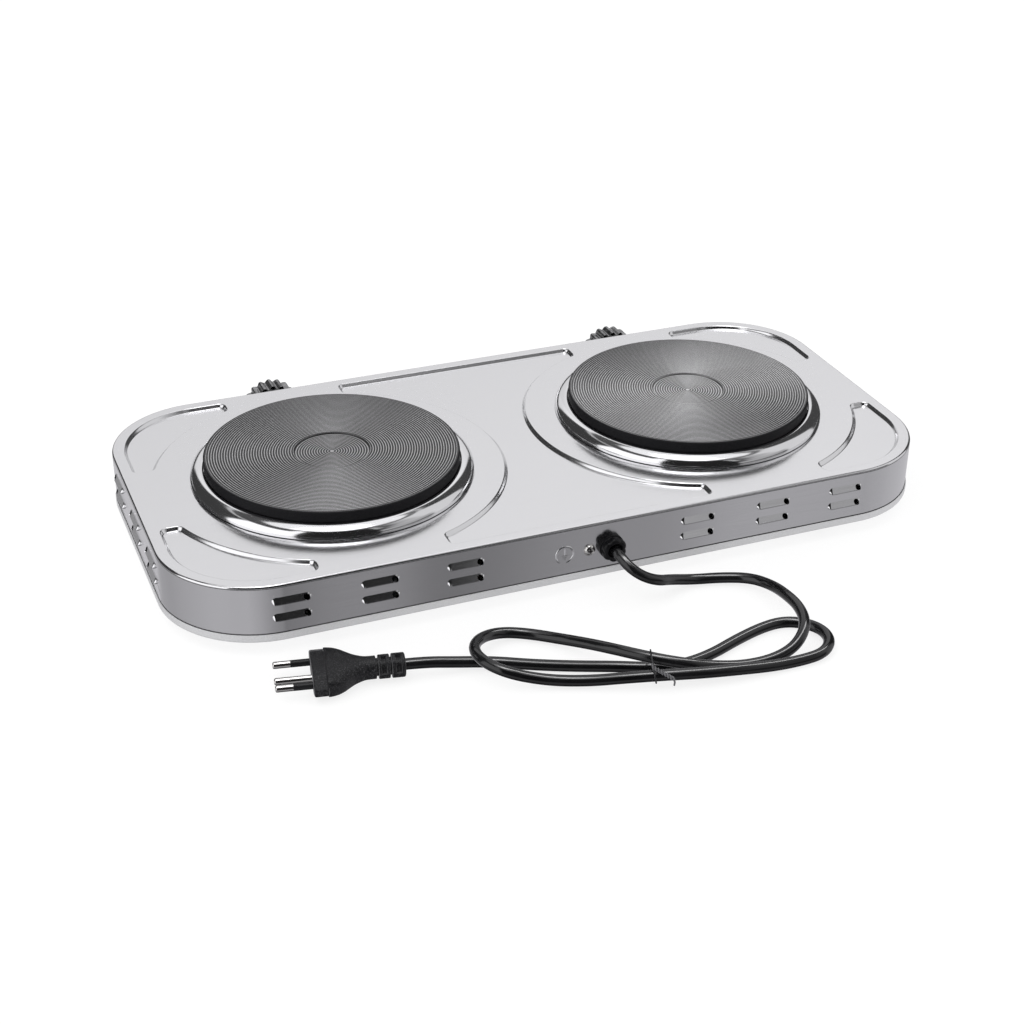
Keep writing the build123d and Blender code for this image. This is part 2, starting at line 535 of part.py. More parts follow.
pl = xcyl(6.35, 0, 6.9) + xcyl(4.6, 6.0, 8.6) + xcyl(6.25, 7.9, 13.7) + xcyl(4.6, 13.0, 16.0)
pl = pl + xcyl(6.0, 14.9, 20.0)
pl = pl + loft([section(20.0, 6.0, 6.0), section(23.0, 6.9, 6.0), section(26.5, 8.7, 6.0), section(30.0, 11.7, 6.0),
                section(33.5, 14.2, 6.0), section(37.0, 15.5, 6.0), section(40.5, 15.8, 6.0)])
fl = Plane(origin=(40.0, 0, 0), x_dir=(0, 1, 0), z_dir=(1, 0, 0)) * Polygon(
    (-17.1, 1.9), (-10.0, 6.2), (10.0, 6.2), (17.1, 1.9), (17.1, -1.9), (10.0, -6.2), (-10.0, -6.2), (-17.1, -1.9), align=None)
fl = fillet(fl.vertices(), 1.5)
pl = pl + extrude(fl, 7.5)
PF = 47.5
for sy in (-1, 1):
    pl = pl - xcyl(PIN_CORE_R, PF - 6, PF + 1, sy * PIN_PITCH / 2, 0)
pl = pl - xcyl(PIN_CORE_R, PF - 6, PF + 1, 0, -3.0)
parts["plug_body"] = plug_loc * pl
pins, sleeves = [], []
for sy in (-1, 1):
    yy = sy * PIN_PITCH / 2
    p = xcyl(PIN_CORE_R, PF - 6, PF + 10, yy, 0) + xcyl(PIN_R, PF + 10, PF + PIN_LEN, yy, 0)
    p = chamfer(p.faces().sort_by(Axis.X)[-1].edges(), 0.8)
    pins.append(plug_loc * p)
    sleeves.append(plug_loc * (xcyl(PIN_R, PF, PF + 10, yy, 0) - xcyl(PIN_CORE_R, PF - 7, PF + 11, yy, 0)))
ep = xcyl(PIN_CORE_R, PF - 6, PF, 0, -3.0) + xcyl(PIN_R, PF, PF + PIN_LEN, 0, -3.0)
ep = chamfer(ep.faces().sort_by(Axis.X)[-1].edges(), 0.8)
parts["plug_pins"] = group(pins)
parts["plug_pin_sleeves"] = group(sleeves)
parts["plug_earth_pin"] = plug_loc * ep

# coated wire tie round the three runs of the cord, with its twisted end
TIE_X = 3.5
loop_o = Polygon((190.3, 0.0), (212.9, 0.0), (212.9, 8.2), (207.2, 16.2), (204.0, 18.2), (197.6, 18.2), (194.2, 15.8),
                 (190.3, 8.0), align=None)
loop_i = Polygon((191.4, 1.1), (211.8, 1.1), (211.8, 7.9), (206.3, 15.4), (203.6, 17.1), (198.0, 17.1), (195.0, 15.2),
                 (191.4, 7.8), align=None)
loop_o = fillet(loop_o.vertices(), 1.6)
loop_i = fillet(loop_i.vertices(), 0.9)
tie_pl = Plane(origin=(TIE_X - 0.9, 0, 0), x_dir=(0, 1, 0), z_dir=(1, 0, 0))
tie = tie_pl * extrude(loop_o - loop_i, 1.8)
t0, t1 = Vector(TIE_X, 209.6, 13.6), Vector(-5.2, 216.6, 7.6)
tail = Plane(origin=t0, z_dir=(t1 - t0).normalized()) * extrude(Circle(1.3), (t1 - t0).length)
parts["cord_tie"] = tie + tail

# ---------------------------------------------------------------------------
os.makedirs("parts", exist_ok=True)
for name, shape in parts.items():
    export_step(Pos(0, YC, 0) * shape, f"parts/{name}.step")
print(len(parts), "nodes")
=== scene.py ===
import math

import bpy
import numpy as np
from mathutils import Matrix, Vector, geometry


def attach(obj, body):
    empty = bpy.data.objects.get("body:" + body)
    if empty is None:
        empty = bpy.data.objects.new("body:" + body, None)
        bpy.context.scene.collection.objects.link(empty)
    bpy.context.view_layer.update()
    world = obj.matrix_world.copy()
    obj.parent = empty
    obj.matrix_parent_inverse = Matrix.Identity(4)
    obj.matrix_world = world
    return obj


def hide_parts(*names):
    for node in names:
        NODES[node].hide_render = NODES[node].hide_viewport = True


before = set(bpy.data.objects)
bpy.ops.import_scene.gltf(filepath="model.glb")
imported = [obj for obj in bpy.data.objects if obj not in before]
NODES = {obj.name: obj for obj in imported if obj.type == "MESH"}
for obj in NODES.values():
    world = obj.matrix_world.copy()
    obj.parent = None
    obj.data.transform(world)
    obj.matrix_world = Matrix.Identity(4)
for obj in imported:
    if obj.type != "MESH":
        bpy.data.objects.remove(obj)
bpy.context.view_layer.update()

MM = 0.001
YC = 5.75                      # the frame's shift of the appliance along Y, in mm

# driving sizes, the same as the CAD's, in mm
SHEET, SHELL_L, SHELL_W, SHELL_R, TOP_Z, EDGE_R = 0.8, 453.0, 222.4, 55.6, 41.7, 1.3
FOOT_H, TRAY_T, LIP_T, LIP_H = 8.0, 0.8, 0.7, 4.8
SKIRT_Z0 = FOOT_H + TRAY_T
PAN_D = 2.1
PLATE_X, PLATE_Y, PLATE_R, PLATE_TOP, RIM_BOT = 112.3, 1.2, 72.5, 54.3, 48.2
RING_R, HOLE_R = 80.7, 74.5
KNOB_X, KNOB_Z, KNOB_BACK, KNOB_FRONT = 116.0, 25.0, 112.4, 129.2
GLAND_X, GLAND_Z, GLAND_FRONT = -12.2, 25.5, 117.7
EARTH_X, EARTH_Z = 0.6, 25.6
LOUVRE_L, LOUVRE_H, LOUVRE_OUT = 21.0, 4.6, 1.7
LOUVRE_Z = (32.0, 22.3)
LOUVRE_REAR_X = (167.8, 120.0, 72.4, -65.0, -112.5, -159.2)
LOUVRE_END_Y = (-43.0, 1.5, 44.0)
CORD_D = 6.0
PLUG_END, PLUG_YAW, PLUG_ROLL = (121.6, 154.2, 7.7), -11.0, -10.0
RO = SHELL_W / 2

scene = bpy.context.scene
scene.view_settings.view_transform = "Standard"
scene.view_settings.look = "None"


# ---------------------------------------------------------------------------
# camera
# ---------------------------------------------------------------------------
cam = bpy.data.cameras.new("camera")
cam.lens, cam.sensor_width, cam.clip_start, cam.clip_end = 63.06, 36.0, 0.01, 50.0
cam_ob = bpy.data.objects.new("camera", cam)
scene.collection.objects.link(cam_ob)
R_, U_ = (-0.9294224, 0.36894889, 0.00712151), (-0.17698432, -0.46261084, 0.86871616)
D_ = (-0.32380635, -0.80614386, -0.49525904)
cam_ob.matrix_world = Matrix((
    (R_[0], U_[0], -D_[0], 0.352941), (R_[1], U_[1], -D_[1], 0.880419),
    (R_[2], U_[2], -D_[2], 0.527676), (0, 0, 0, 1)))
scene.camera = cam_ob


# ---------------------------------------------------------------------------
# materials
# ---------------------------------------------------------------------------
class Mat:
    """A Principled material with procedural detail."""

    def __init__(self, name, base, metal=0.0, rough=0.5, **more):
        self.m = bpy.data.materials.new(name)
        self.m.use_nodes = True
        self.t = self.m.node_tree
        self.b = self.t.nodes["Principled BSDF"]
        self.b.inputs["Base Color"].default_value = (*base, 1)
        self.b.inputs["Metallic"].default_value = metal
        self.b.inputs["Roughness"].default_value = rough
        for k, v in more.items():
            self.b.inputs[k.replace("_", " ")].default_value = v
        self.co = None
        self.last = None

    def node(self, kind, **props):
        n = self.t.nodes.new(kind)
        for k, v in props.items():
            setattr(n, k, v)
        return n

    def link(self, a, b):
        self.t.links.new(a, b)

    def coord(self, stretch=(1, 1, 1), turn=(0, 0, 0)):
        if self.co is None:
            self.co = self.node("ShaderNodeTexCoord").outputs["Object"]
        if stretch == (1, 1, 1) and turn == (0, 0, 0):
            return self.co
        mp = self.node("ShaderNodeMapping")
        mp.inputs["Scale"].default_value = stretch
        mp.inputs["Rotation"].default_value = turn
        self.link(self.co, mp.inputs["Vector"])
        return mp.outputs["Vector"]

    def noise(self, scale, detail=3.0, rough=0.55, stretch=(1, 1, 1), vec=None):
        n = self.node("ShaderNodeTexNoise")
        n.inputs["Scale"].default_value = scale
        n.inputs["Detail"].default_value = detail
        n.inputs["Roughness"].default_value = rough
        self.link(vec or self.coord(stretch), n.inputs["Vector"])
        return n.outputs["Fac"]

    def voronoi(self, scale, stretch=(1, 1, 1), feature="F1"):
        n = self.node("ShaderNodeTexVoronoi", feature=feature)
        n.inputs["Scale"].default_value = scale
        self.link(self.coord(stretch), n.inputs["Vector"])
        return n.outputs["Distance"]

    def ramp(self, sock, stops):
        r = self.node("ShaderNodeValToRGB")
        e = r.color_ramp.elements
        while len(e) < len(stops):
            e.new(0.5)
        for el, (p, c) in zip(e, stops):
            el.position = p
            c = (c, c, c) if not hasattr(c, "__len__") else c
            el.color = (*c, 1)
        self.link(sock, r.inputs["Fac"])
        return r.outputs["Color"]

    def rng(self, sock, lo, hi, a=0.3, b=0.7):
        n = self.node("ShaderNodeMapRange")
        n.inputs["From Min"].default_value = a
        n.inputs["From Max"].default_value = b
        n.inputs["To Min"].default_value = lo
        n.inputs["To Max"].default_value = hi
        self.link(sock, n.inputs["Value"])
        return n.outputs["Result"]

    def along(self, axis, lo, hi, a, b):
        """A value that runs from lo to hi between two places on the object, in metres."""
        n = self.node("ShaderNodeSeparateXYZ")
        self.link(self.coord(), n.inputs[0])
        return self.rng(n.outputs[axis], lo, hi, a, b)

    def mix(self, fac, a, b, kind="MIX"):
        n = self.node("ShaderNodeMix", data_type="RGBA", blend_type=kind)
        if hasattr(fac, "is_linked"):
            self.link(fac, n.inputs["Factor"])
        else:
            n.inputs["Factor"].default_value = fac
        for s, v in (("A", a), ("B", b)):
            i = [q for q in n.inputs if q.name == s and q.type == "RGBA"][0]
            if hasattr(v, "is_linked"):
                self.link(v, i)
            else:
                i.default_value = (*v, 1)
        return [q for q in n.outputs if q.type == "RGBA"][0]

    def math(self, op, a, b=None):
        n = self.node("ShaderNodeMath", operation=op)
        for i, v in enumerate((a, b)):
            if v is None:
                continue
            if hasattr(v, "is_linked"):
                self.link(v, n.inputs[i])
            else:
                n.inputs[i].default_value = v
        return n.outputs[0]

    def color(self, sock):
        self.link(sock, self.b.inputs["Base Color"])
        return self

    def rough(self, sock):
        self.link(sock, self.b.inputs["Roughness"])
        return self

    def bump(self, sock, strength, dist):
        n = self.node("ShaderNodeBump")
        n.inputs["Strength"].default_value = strength
        n.inputs["Distance"].default_value = dist
        self.link(sock, n.inputs["Height"])
        if self.last is not None:
            self.link(self.last, n.inputs["Normal"])
        self.last = n.outputs["Normal"]
        self.link(self.last, self.b.inputs["Normal"])
        return self


def streaks(m, lo, hi, scale=900.0, along=0.02):
    """Brush marks: along X, and along Y on the faces that look along X."""
    a = m.noise(scale, 3.0, 0.6, (along, 1, 1))
    b = m.noise(scale, 3.0, 0.6, (1, along, 1))
    g = m.node("ShaderNodeNewGeometry")
    sx = m.node("ShaderNodeSeparateXYZ")
    m.link(g.outputs["True Normal"], sx.inputs[0])
    side = m.math("ABSOLUTE", sx.outputs["X"])
    side = m.rng(side, 0.0, 1.0, 0.55, 0.85)
    n = m.node("ShaderNodeMix", data_type="FLOAT")
    m.link(side, n.inputs[0])
    m.link(a, n.inputs[2])
    m.link(b, n.inputs[3])
    return n.outputs[0]


def stainless(name, rough, brushed, waves):
    m = Mat(name, (0.80, 0.80, 0.81), 1.0, rough)
    st = streaks(m, 0, 1, 2600.0, 0.010)
    w = m.noise(7.0, 2.0, 0.5)
    g = m.noise(2400.0, 2.0, 0.7)
    c = m.mix(m.rng(st, 0.0, brushed), (0.82, 0.82, 0.83), (0.70, 0.70, 0.715))
    c = m.mix(m.rng(w, 0.0, 0.10), c, (0.72, 0.72, 0.735))
    c = m.mix(m.rng(g, 0.0, 0.06), c, (0.92, 0.92, 0.93))
    m.color(c)
    m.rough(m.math("ADD", m.rng(st, rough - 0.02, rough + 0.03), m.rng(w, -0.01, 0.02)))
    m.bump(st, 0.05, 0.000012).bump(w, waves, 0.0003)
    return m


# satin stainless of the pressed housing, and its side where the brush marks run along the skirt
STEEL = stainless("satin_stainless", 0.16, 0.14, 0.05)
SIDE = stainless("brushed_stainless", 0.12, 0.22, 0.006)
SIDE.b.inputs["Anisotropic"].default_value = 0.85
SIDE.b.inputs["Anisotropic Rotation"].default_value = 0.25
_t = SIDE.node("ShaderNodeTangent", direction_type="RADIAL", axis="Z")
SIDE.link(_t.outputs[0], SIDE.b.inputs["Tangent"])

# the shaded strip of the skirt just above the tray's lip
SKIRT_SHADE = Mat("skirt_painted_shade", (0.10, 0.10, 0.105), 0.7, 0.45)
_g = SKIRT_SHADE.noise(900.0, 3.0, 0.6)
SKIRT_SHADE.color(SKIRT_SHADE.mix(SKIRT_SHADE.rng(_g, 0.0, 1.0), (0.05, 0.05, 0.052), (0.17, 0.17, 0.175)))

# the shaded line under the rolled edge
CREASE = Mat("edge_crease", (0.22, 0.22, 0.225), 0.9, 0.30)
_g = CREASE.noise(900.0, 3.0, 0.6)
CREASE.color(CREASE.mix(CREASE.rng(_g, 0.0, 1.0), (0.14, 0.14, 0.142), (0.32, 0.32, 0.325)))

# polished stainless of the trim rings
POLISH = Mat("polished_trim", (0.82, 0.82, 0.83), 1.0, 0.10)
_w = POLISH.noise(60.0, 2.0, 0.5)
_g = POLISH.noise(2200.0, 2.0, 0.6)
POLISH.color(POLISH.mix(POLISH.rng(_w, 0.0, 0.2), (0.84, 0.84, 0.85), (0.74, 0.74, 0.75)))
POLISH.rough(POLISH.rng(_g, 0.08, 0.13))
POLISH.bump(_w, 0.10, 0.0001)

# zinc-coated steel of the base tray
TRAY = Mat("tray_steel", (0.64, 0.64, 0.65), 0.25, 0.5)
_v = TRAY.voronoi(1500.0)
_g = TRAY.noise(2600.0, 3.0, 0.65)
_w = TRAY.noise(30.0, 3.0, 0.5)
_c = TRAY.mix(TRAY.rng(_v, 0.0, 0.5, 0.1, 0.7), (0.78, 0.78, 0.79), (0.60, 0.60, 0.615))
_c = TRAY.mix(TRAY.rng(_g, 0.0, 0.40), _c, (0.42, 0.42, 0.435))
_c = TRAY.mix(TRAY.rng(_w, 0.0, 0.2), _c, (0.50, 0.50, 0.51))
TRAY.color(_c).rough(TRAY.rng(_g, 0.38, 0.55)).bump(_g, 0.15, 0.00004)

# zinc-plated small parts
ZINC = Mat("zinc_steel", (0.62, 0.63, 0.64), 0.95, 0.32)
_g = ZINC.noise(700.0, 4.0, 0.6)
_w = ZINC.noise(60.0, 2.0, 0.5)
ZINC.color(ZINC.mix(ZINC.rng(_w, 0.0, 0.6), (0.68, 0.69, 0.70), (0.52, 0.53, 0.54)))
ZINC.rough(ZINC.rng(_g, 0.24, 0.42)).bump(_g, 0.15, 0.00004)

# cast iron of the plates, turned to a fine spiral
IRON = Mat("plate_iron", (0.22, 0.22, 0.225), 0.9, 0.30)
_g = IRON.noise(1500.0, 4.0, 0.7)
_w = IRON.noise(14.0, 4.0, 0.6)
_c = IRON.mix(IRON.rng(_g, 0.0, 0.7), (0.50, 0.50, 0.505), (0.80, 0.80, 0.805))
_c = IRON.mix(IRON.rng(_w, 0.0, 0.35), _c, (0.38, 0.38, 0.385))
# painted light: one plate is painted brighter than the other, and both are painted darker at the side towards the
# knobs, standing in for reflected light and shade
_o = _c
_c = IRON.mix(IRON.along("X", 0.85, 0.0, -0.08, 0.02), _c, IRON.mix(IRON.rng(_g, 0.0, 0.7), (0.78, 0.78, 0.785), (0.96, 0.96, 0.965)))
_c = IRON.mix(IRON.along("Y", 0.0, 0.9, 0.015, 0.060), _c, _o)
_c = IRON.mix(IRON.along("Y", 0.85, 0.0, -0.060, -0.012), _c, (0.34, 0.34, 0.343))
IRON.color(_c).rough(IRON.rng(_g, 0.30, 0.44)).bump(_g, 0.25, 0.00006)
IRON_GROOVE = Mat("plate_groove_iron", (0.06, 0.06, 0.062), 0.9, 0.34)
_g = IRON_GROOVE.noise(1500.0, 4.0, 0.7)
_c = IRON_GROOVE.mix(IRON_GROOVE.rng(_g, 0.0, 0.7), (0.050, 0.050, 0.051), (0.14, 0.14, 0.142))
# the same painted light as on the crests: one plate painted brighter, both painted darker towards the knobs
_o = _c
_c = IRON_GROOVE.mix(IRON_GROOVE.along("X", 0.85, 0.0, -0.08, 0.02), _c, IRON_GROOVE.mix(IRON_GROOVE.rng(_g, 0.0, 0.7), (0.17, 0.17, 0.171), (0.38, 0.38, 0.382)))
_c = IRON_GROOVE.mix(IRON_GROOVE.along("Y", 0.0, 0.9, 0.015, 0.060), _c, _o)
_c = IRON_GROOVE.mix(IRON_GROOVE.along("Y", 0.85, 0.0, -0.060, -0.012), _c, (0.05, 0.05, 0.051))
IRON_GROOVE.color(_c)
IRON_GROOVE.rough(IRON_GROOVE.rng(_g, 0.38, 0.52)).bump(_g, 0.25, 0.00006)
# the same iron where it isn't turned: the plate's black edge; the earth screw's cross recess takes it too, as painted
# shade
IRON_EDGE = Mat("plate_edge_iron", (0.008, 0.008, 0.009), 0.0, 0.5, Specular_IOR_Level=0.12)
_g = IRON_EDGE.noise(1500.0, 4.0, 0.6)
IRON_EDGE.color(IRON_EDGE.mix(IRON_EDGE.rng(_g, 0.0, 0.7), (0.005, 0.005, 0.006), (0.018, 0.018, 0.020)))
IRON_EDGE.rough(IRON_EDGE.rng(_g, 0.42, 0.62)).bump(_g, 0.4, 0.00008)


def plastic(name, base, rough, grain=1400.0, strength=0.25, dist=0.00005, spread=0.5, **more):
    m = Mat(name, base, 0.0, rough, **more)
    g = m.noise(grain, 3.0, 0.6)
    w = m.noise(45.0, 3.0, 0.5)
    hi = tuple(min(1.0, c * (1 + spread) + 0.002) for c in base)
    lo = tuple(c * (1 - spread * 0.5) for c in base)
    m.color(m.mix(m.rng(w, 0.0, 1.0), lo, hi))
    m.rough(m.rng(g, max(0.02, rough - 0.06), min(1.0, rough + 0.08)))
    m.bump(g, strength, dist)
    return m


KNOB = plastic("knob_plastic", (0.008, 0.008, 0.009), 0.24, 1100.0, 0.2, Specular_IOR_Level=0.35)
BLACK = plastic("black_plastic", (0.005, 0.005, 0.006), 0.30, 1500.0, 0.25, Specular_IOR_Level=0.20)
RUBBER = plastic("black_rubber", (0.014, 0.014, 0.014), 0.72, 900.0, 0.4, 0.0001, Specular_IOR_Level=0.2)
CORD = plastic("cord_pvc", (0.003, 0.003, 0.0035), 0.16, 1600.0, 0.10, 0.00003, Specular_IOR_Level=0.60)
PLUG = Mat("plug_pvc", (0.008, 0.008, 0.009), 0.0, 0.40, Specular_IOR_Level=0.24)
_g = PLUG.noise(1900.0, 3.0, 0.7)
_c = PLUG.mix(PLUG.rng(_g, 0.0, 1.0, 0.52, 0.66), (0.006, 0.006, 0.007), (0.060, 0.060, 0.064))
PLUG.color(_c).rough(PLUG.rng(_g, 0.30, 0.46)).bump(_g, 0.5, 0.0001)
SLEEVE = plastic("pin_sleeve", (0.010, 0.010, 0.011), 0.36, 1500.0, 0.2, Specular_IOR_Level=0.3)
NICKEL = Mat("nickel", (0.72, 0.71, 0.69), 1.0, 0.16)
_g = NICKEL.noise(900.0, 3.0, 0.6, (0.1, 1, 1))
NICKEL.color(NICKEL.mix(NICKEL.rng(_g, 0.0, 0.6), (0.78, 0.77, 0.75), (0.60, 0.59, 0.57)))
NICKEL.rough(NICKEL.rng(_g, 0.11, 0.24))
TIE = plastic("tie_plastic", (0.006, 0.006, 0.007), 0.24, 1500.0, 0.2)
# the twisted ends are painted lighter grey than the loop: a painted highlight on the twist
TIE_TWIST_HIGHLIGHT = plastic("tie_plastic_painted_highlight", (0.085, 0.085, 0.090), 0.22, 1500.0, 0.3)
COIL = Mat("coil_alloy", (0.34, 0.31, 0.28), 0.9, 0.45)
_g = COIL.noise(500.0, 4.0, 0.6)
COIL.color(COIL.ramp(_g, [(0.3, (0.24, 0.21, 0.19)), (0.7, (0.42, 0.38, 0.34))])).bump(_g, 0.3, 0.0001)
MAGNESIA = plastic("magnesia", (0.62, 0.60, 0.56), 0.85, 500.0, 0.6, 0.0002, 0.12)
CERAMIC = plastic("ceramic", (0.72, 0.70, 0.65), 0.45, 600.0, 0.3, 0.0001, 0.10)
BRASS = Mat("brass", (0.66, 0.50, 0.24), 1.0, 0.28)
_g = BRASS.noise(500.0, 3.0, 0.6)
BRASS.color(BRASS.ramp(_g, [(0.3, (0.56, 0.41, 0.19)), (0.7, (0.74, 0.58, 0.30))])).rough(BRASS.rng(_g, 0.2, 0.38))
LENS = plastic("lamp_lens", (0.55, 0.06, 0.02), 0.14, 300.0, 0.1, 0.0001, 0.15,
               Subsurface_Weight=0.25, Coat_Weight=0.4)
LAMP = plastic("lamp_body", (0.70, 0.69, 0.64), 0.4, 700.0, 0.2, 0.00005, 0.08)
WIRE_L = plastic("wire_live", (0.16, 0.06, 0.025), 0.42, 1200.0, 0.2)
WIRE_N = plastic("wire_neutral", (0.03, 0.09, 0.30), 0.42, 1200.0, 0.2)
WIRE_E = Mat("wire_earth", (0.10, 0.32, 0.06), 0.0, 0.42)
_n = WIRE_E.node("ShaderNodeTexWave", wave_type="BANDS")
_n.inputs["Scale"].default_value = 90.0
_n.inputs["Distortion"].default_value = 1.0
WIRE_E.link(WIRE_E.coord(), _n.inputs["Vector"])
WIRE_E.color(WIRE_E.ramp(_n.outputs["Fac"], [(0.42, (0.08, 0.30, 0.05)), (0.5, (0.72, 0.60, 0.04))]))
WIRE_S = plastic("wire_switched", (0.42, 0.40, 0.38), 0.5, 900.0, 0.3)

CAD_MATERIALS = {
    "base_brackets": ZINC, "base_screws": ZINC, "rubber_feet": RUBBER, "foot_screws": ZINC, "foot_nuts": ZINC,
    "coil_insulation_left": MAGNESIA, "coil_insulation_right": MAGNESIA, "heating_coil_left": COIL,
    "heating_coil_right": COIL, "plate_cover_left": ZINC, "plate_cover_right": ZINC, "clamp_bridge_left": ZINC,
    "clamp_bridge_right": ZINC, "plate_terminal_left": CERAMIC, "plate_terminal_right": CERAMIC,
    "plate_studs": ZINC, "clamp_nuts": ZINC, "plate_terminal_tabs": BRASS, "regulator_frame_left": ZINC,
    "regulator_frame_right": ZINC, "regulator_body_left": CERAMIC, "regulator_body_right": CERAMIC,
    "control_bush_left": BRASS, "control_bush_right": BRASS, "control_shaft_left": NICKEL,
    "control_shaft_right": NICKEL, "knob_spring_left": ZINC, "knob_spring_right": ZINC, "bush_nuts": ZINC,
    "regulator_blades": BRASS, "pilot_lenses": LENS, "pilot_lamp_bodies": LAMP, "cable_gland": BLACK,
    "gland_nut": BLACK, "gland_sleeve": CORD, "cable_tail": CORD, "earth_screw": NICKEL, "earth_washer": ZINC,
    "earth_terminal": BRASS, "earth_nut": ZINC, "mains_block": CERAMIC, "mains_block_screws": ZINC,
    "live_wires": WIRE_L, "neutral_wires": WIRE_N, "switched_wires": WIRE_S, "earth_wire": WIRE_E,
    "power_cord": CORD, "plug_body": PLUG, "plug_pins": NICKEL, "plug_pin_sleeves": SLEEVE,
    "plug_earth_pin": NICKEL, "cord_tie": TIE, "housing_shell": STEEL, "base_tray": TRAY,
    "hot_plate_left": IRON, "hot_plate_right": IRON, "trim_ring_left": POLISH, "trim_ring_right": POLISH,
    "knob_left": KNOB, "knob_right": KNOB,
}
for _name, _ob in NODES.items():
    _m = CAD_MATERIALS[_name].m
    _ob.data.materials.clear()
    _ob.data.materials.append(_m)


# ---------------------------------------------------------------------------
# mesh helpers, in mm in the housing's own axes
# ---------------------------------------------------------------------------
class Geo:
    """Vertices with their normals, and faces, gathered for one piece."""

    def __init__(self):
        self.v, self.n, self.f, self.m, self.w = [], [], [], [], []

    def add(self, v, n, f, mi=0, w=None):
        o = len(self.v)
        self.v += [tuple(map(float, p)) for p in v]
        self.n += [tuple(map(float, p)) for p in n]
        self.w += [0.0] * len(v) if w is None else [float(x) for x in w]
        for q in f:
            g = []
            for i in q:
                if not g or self.v[i + o] != self.v[g[-1]]:
                    g.append(i + o)
            if len(g) > 2 and self.v[g[0]] == self.v[g[-1]]:
                g.pop()
            if len(g) > 2:
                self.f.append(g)
                self.m.append(mi)
        return o

    def loft(self, rings, closed=True, mi=0):
        """rings: equal lists of (point, normal)."""
        k = len(rings[0])
        v = [p for r in rings for p, _ in r]
        n = [q for r in rings for _, q in r]
        f = []
        for a in range(len(rings) - 1):
            for i in range(k if closed else k - 1):
                j = (i + 1) % k
                f.append([a * k + i, a * k + j, (a + 1) * k + j, (a + 1) * k + i])
        self.add(v, n, f, mi)

    def piece(self, name, mats, body="cooker", slot=None, stands_for=(), local=None, sharp=None):
        v = np.array(self.v)
        n = np.array(self.n)
        if local is not None:
            M = np.array(local)
            v = v @ M[:3, :3].T + M[:3, 3]
            n = n @ M[:3, :3].T
        n /= np.maximum(np.linalg.norm(n, axis=1), 1e-9)[:, None]
        v[:, 1] += YC
        v *= MM
        faces = [None] * len(self.f)
        for size in (3, 4):
            ids = [i for i, q in enumerate(self.f) if len(q) == size]
            if not ids:
                continue
            q = np.array([self.f[i] for i in ids])
            p = v[q]
            fn = np.cross(p[:, 1] - p[:, 0], p[:, 2] - p[:, 0])
            if size == 4:
                fn = fn + np.cross(p[:, 2] - p[:, 0], p[:, 3] - p[:, 0])
            back = (fn * n[q].sum(1)).sum(1) < 0
            q[back] = q[back][:, ::-1]
            for i, k in zip(ids, q.tolist()):
                faces[i] = k
        me = bpy.data.meshes.new(name)
        me.from_pydata([tuple(p) for p in v], [], faces)
        for m in mats if isinstance(mats, (list, tuple)) else [mats]:
            me.materials.append(m.m)
        me.polygons.foreach_set("material_index", np.array(self.m, np.int32))
        me.polygons.foreach_set("use_smooth", np.ones(len(me.polygons), bool))
        me.update()
        me.normals_split_custom_set_from_vertices([tuple(p) for p in n])
        ob = bpy.data.objects.new(name, me)
        scene.collection.objects.link(ob)
        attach(ob, body)
        if stands_for:
            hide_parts(*stands_for)
        return ob


def rounded(points, radii, seg=6, closed=False):
    """A polyline in a plane with its corners rounded, as (point, direction) pairs with exact tangents."""
    P = [np.array(p, float) for p in points]
    n = len(P)
    if not hasattr(radii, "__len__"):
        radii = [radii] * n
    out = []
    for i in range(n):
        if not closed and i in (0, n - 1):
            j = 1 if i == 0 else n - 2
            d = (P[j] - P[i]) if i == 0 else (P[i] - P[j])
            out.append((P[i], d / np.linalg.norm(d)))
            continue
        a, b, c = P[i - 1], P[i], P[(i + 1) % n]
        d0, d1 = (b - a) / np.linalg.norm(b - a), (c - b) / np.linalg.norm(c - b)
        cr = d0[0] * d1[1] - d0[1] * d1[0]
        ang = math.atan2(cr, d0 @ d1)
        r = radii[i]
        if abs(ang) < 1e-6:
            out.append((b, d0))
            continue
        if r <= 0:
            out += [(b, d0), (b, d1)]
            continue
        t = r * math.tan(abs(ang) / 2)
        t = min(t, 0.49 * np.linalg.norm(b - a), 0.49 * np.linalg.norm(c - b))
        r = t / math.tan(abs(ang) / 2)
        s = math.copysign(1, ang)
        cen = b - d0 * t + s * r * np.array([-d0[1], d0[0]])
        for k in range(seg + 1):
            th = ang * k / seg
            cs, sn = math.cos(th), math.sin(th)
            d = np.array([cs * d0[0] - sn * d0[1], sn * d0[0] + cs * d0[1]])
            p = cen - s * r * np.array([-d[1], d[0]])
            out.append((p, d))
    return out


def lathe(geo, profile, n=96, cx=0.0, cy=0.0, axis="Z", origin=(0, 0, 0), mi=0, outward=1, radial=None):
    """profile: (r, z) points with directions. The normal is the direction turned to the right, times outward."""
    rings = []
    for (p, d) in profile:
        ring = []
        nr, nz = d[1] * outward, -d[0] * outward
        for i in range(n):
            a = 2 * math.pi * i / n
            c, s = math.cos(a), math.sin(a)
            if axis == "Z":
                ring.append(((cx + p[0] * c, cy + p[0] * s, p[1]), (nr * c, nr * s, nz)))
            elif axis == "Y":      # the profile's z runs along +Y
                ring.append(((cx + p[0] * c, p[1], cy + p[0] * s), (nr * c, nz, nr * s)))
            else:                  # along +X
                ring.append(((p[1], cx + p[0] * c, cy + p[0] * s), (nz, nr * c, nr * s)))
        rings.append(ring)
    # rings that share a place keep their own normals, so their zero-size faces are left out
    groups, cur = [], [rings[0]]
    for a, b in zip(rings, rings[1:]):
        same = all(abs(x - y) < 1e-9 for x, y in zip(a[0][0], b[0][0]))
        if same:
            groups.append(cur)
            cur = [b]
        else:
            cur.append(b)
    groups.append(cur)
    for g in groups:
        if len(g) > 1:
            geo.loft(g, True, mi)


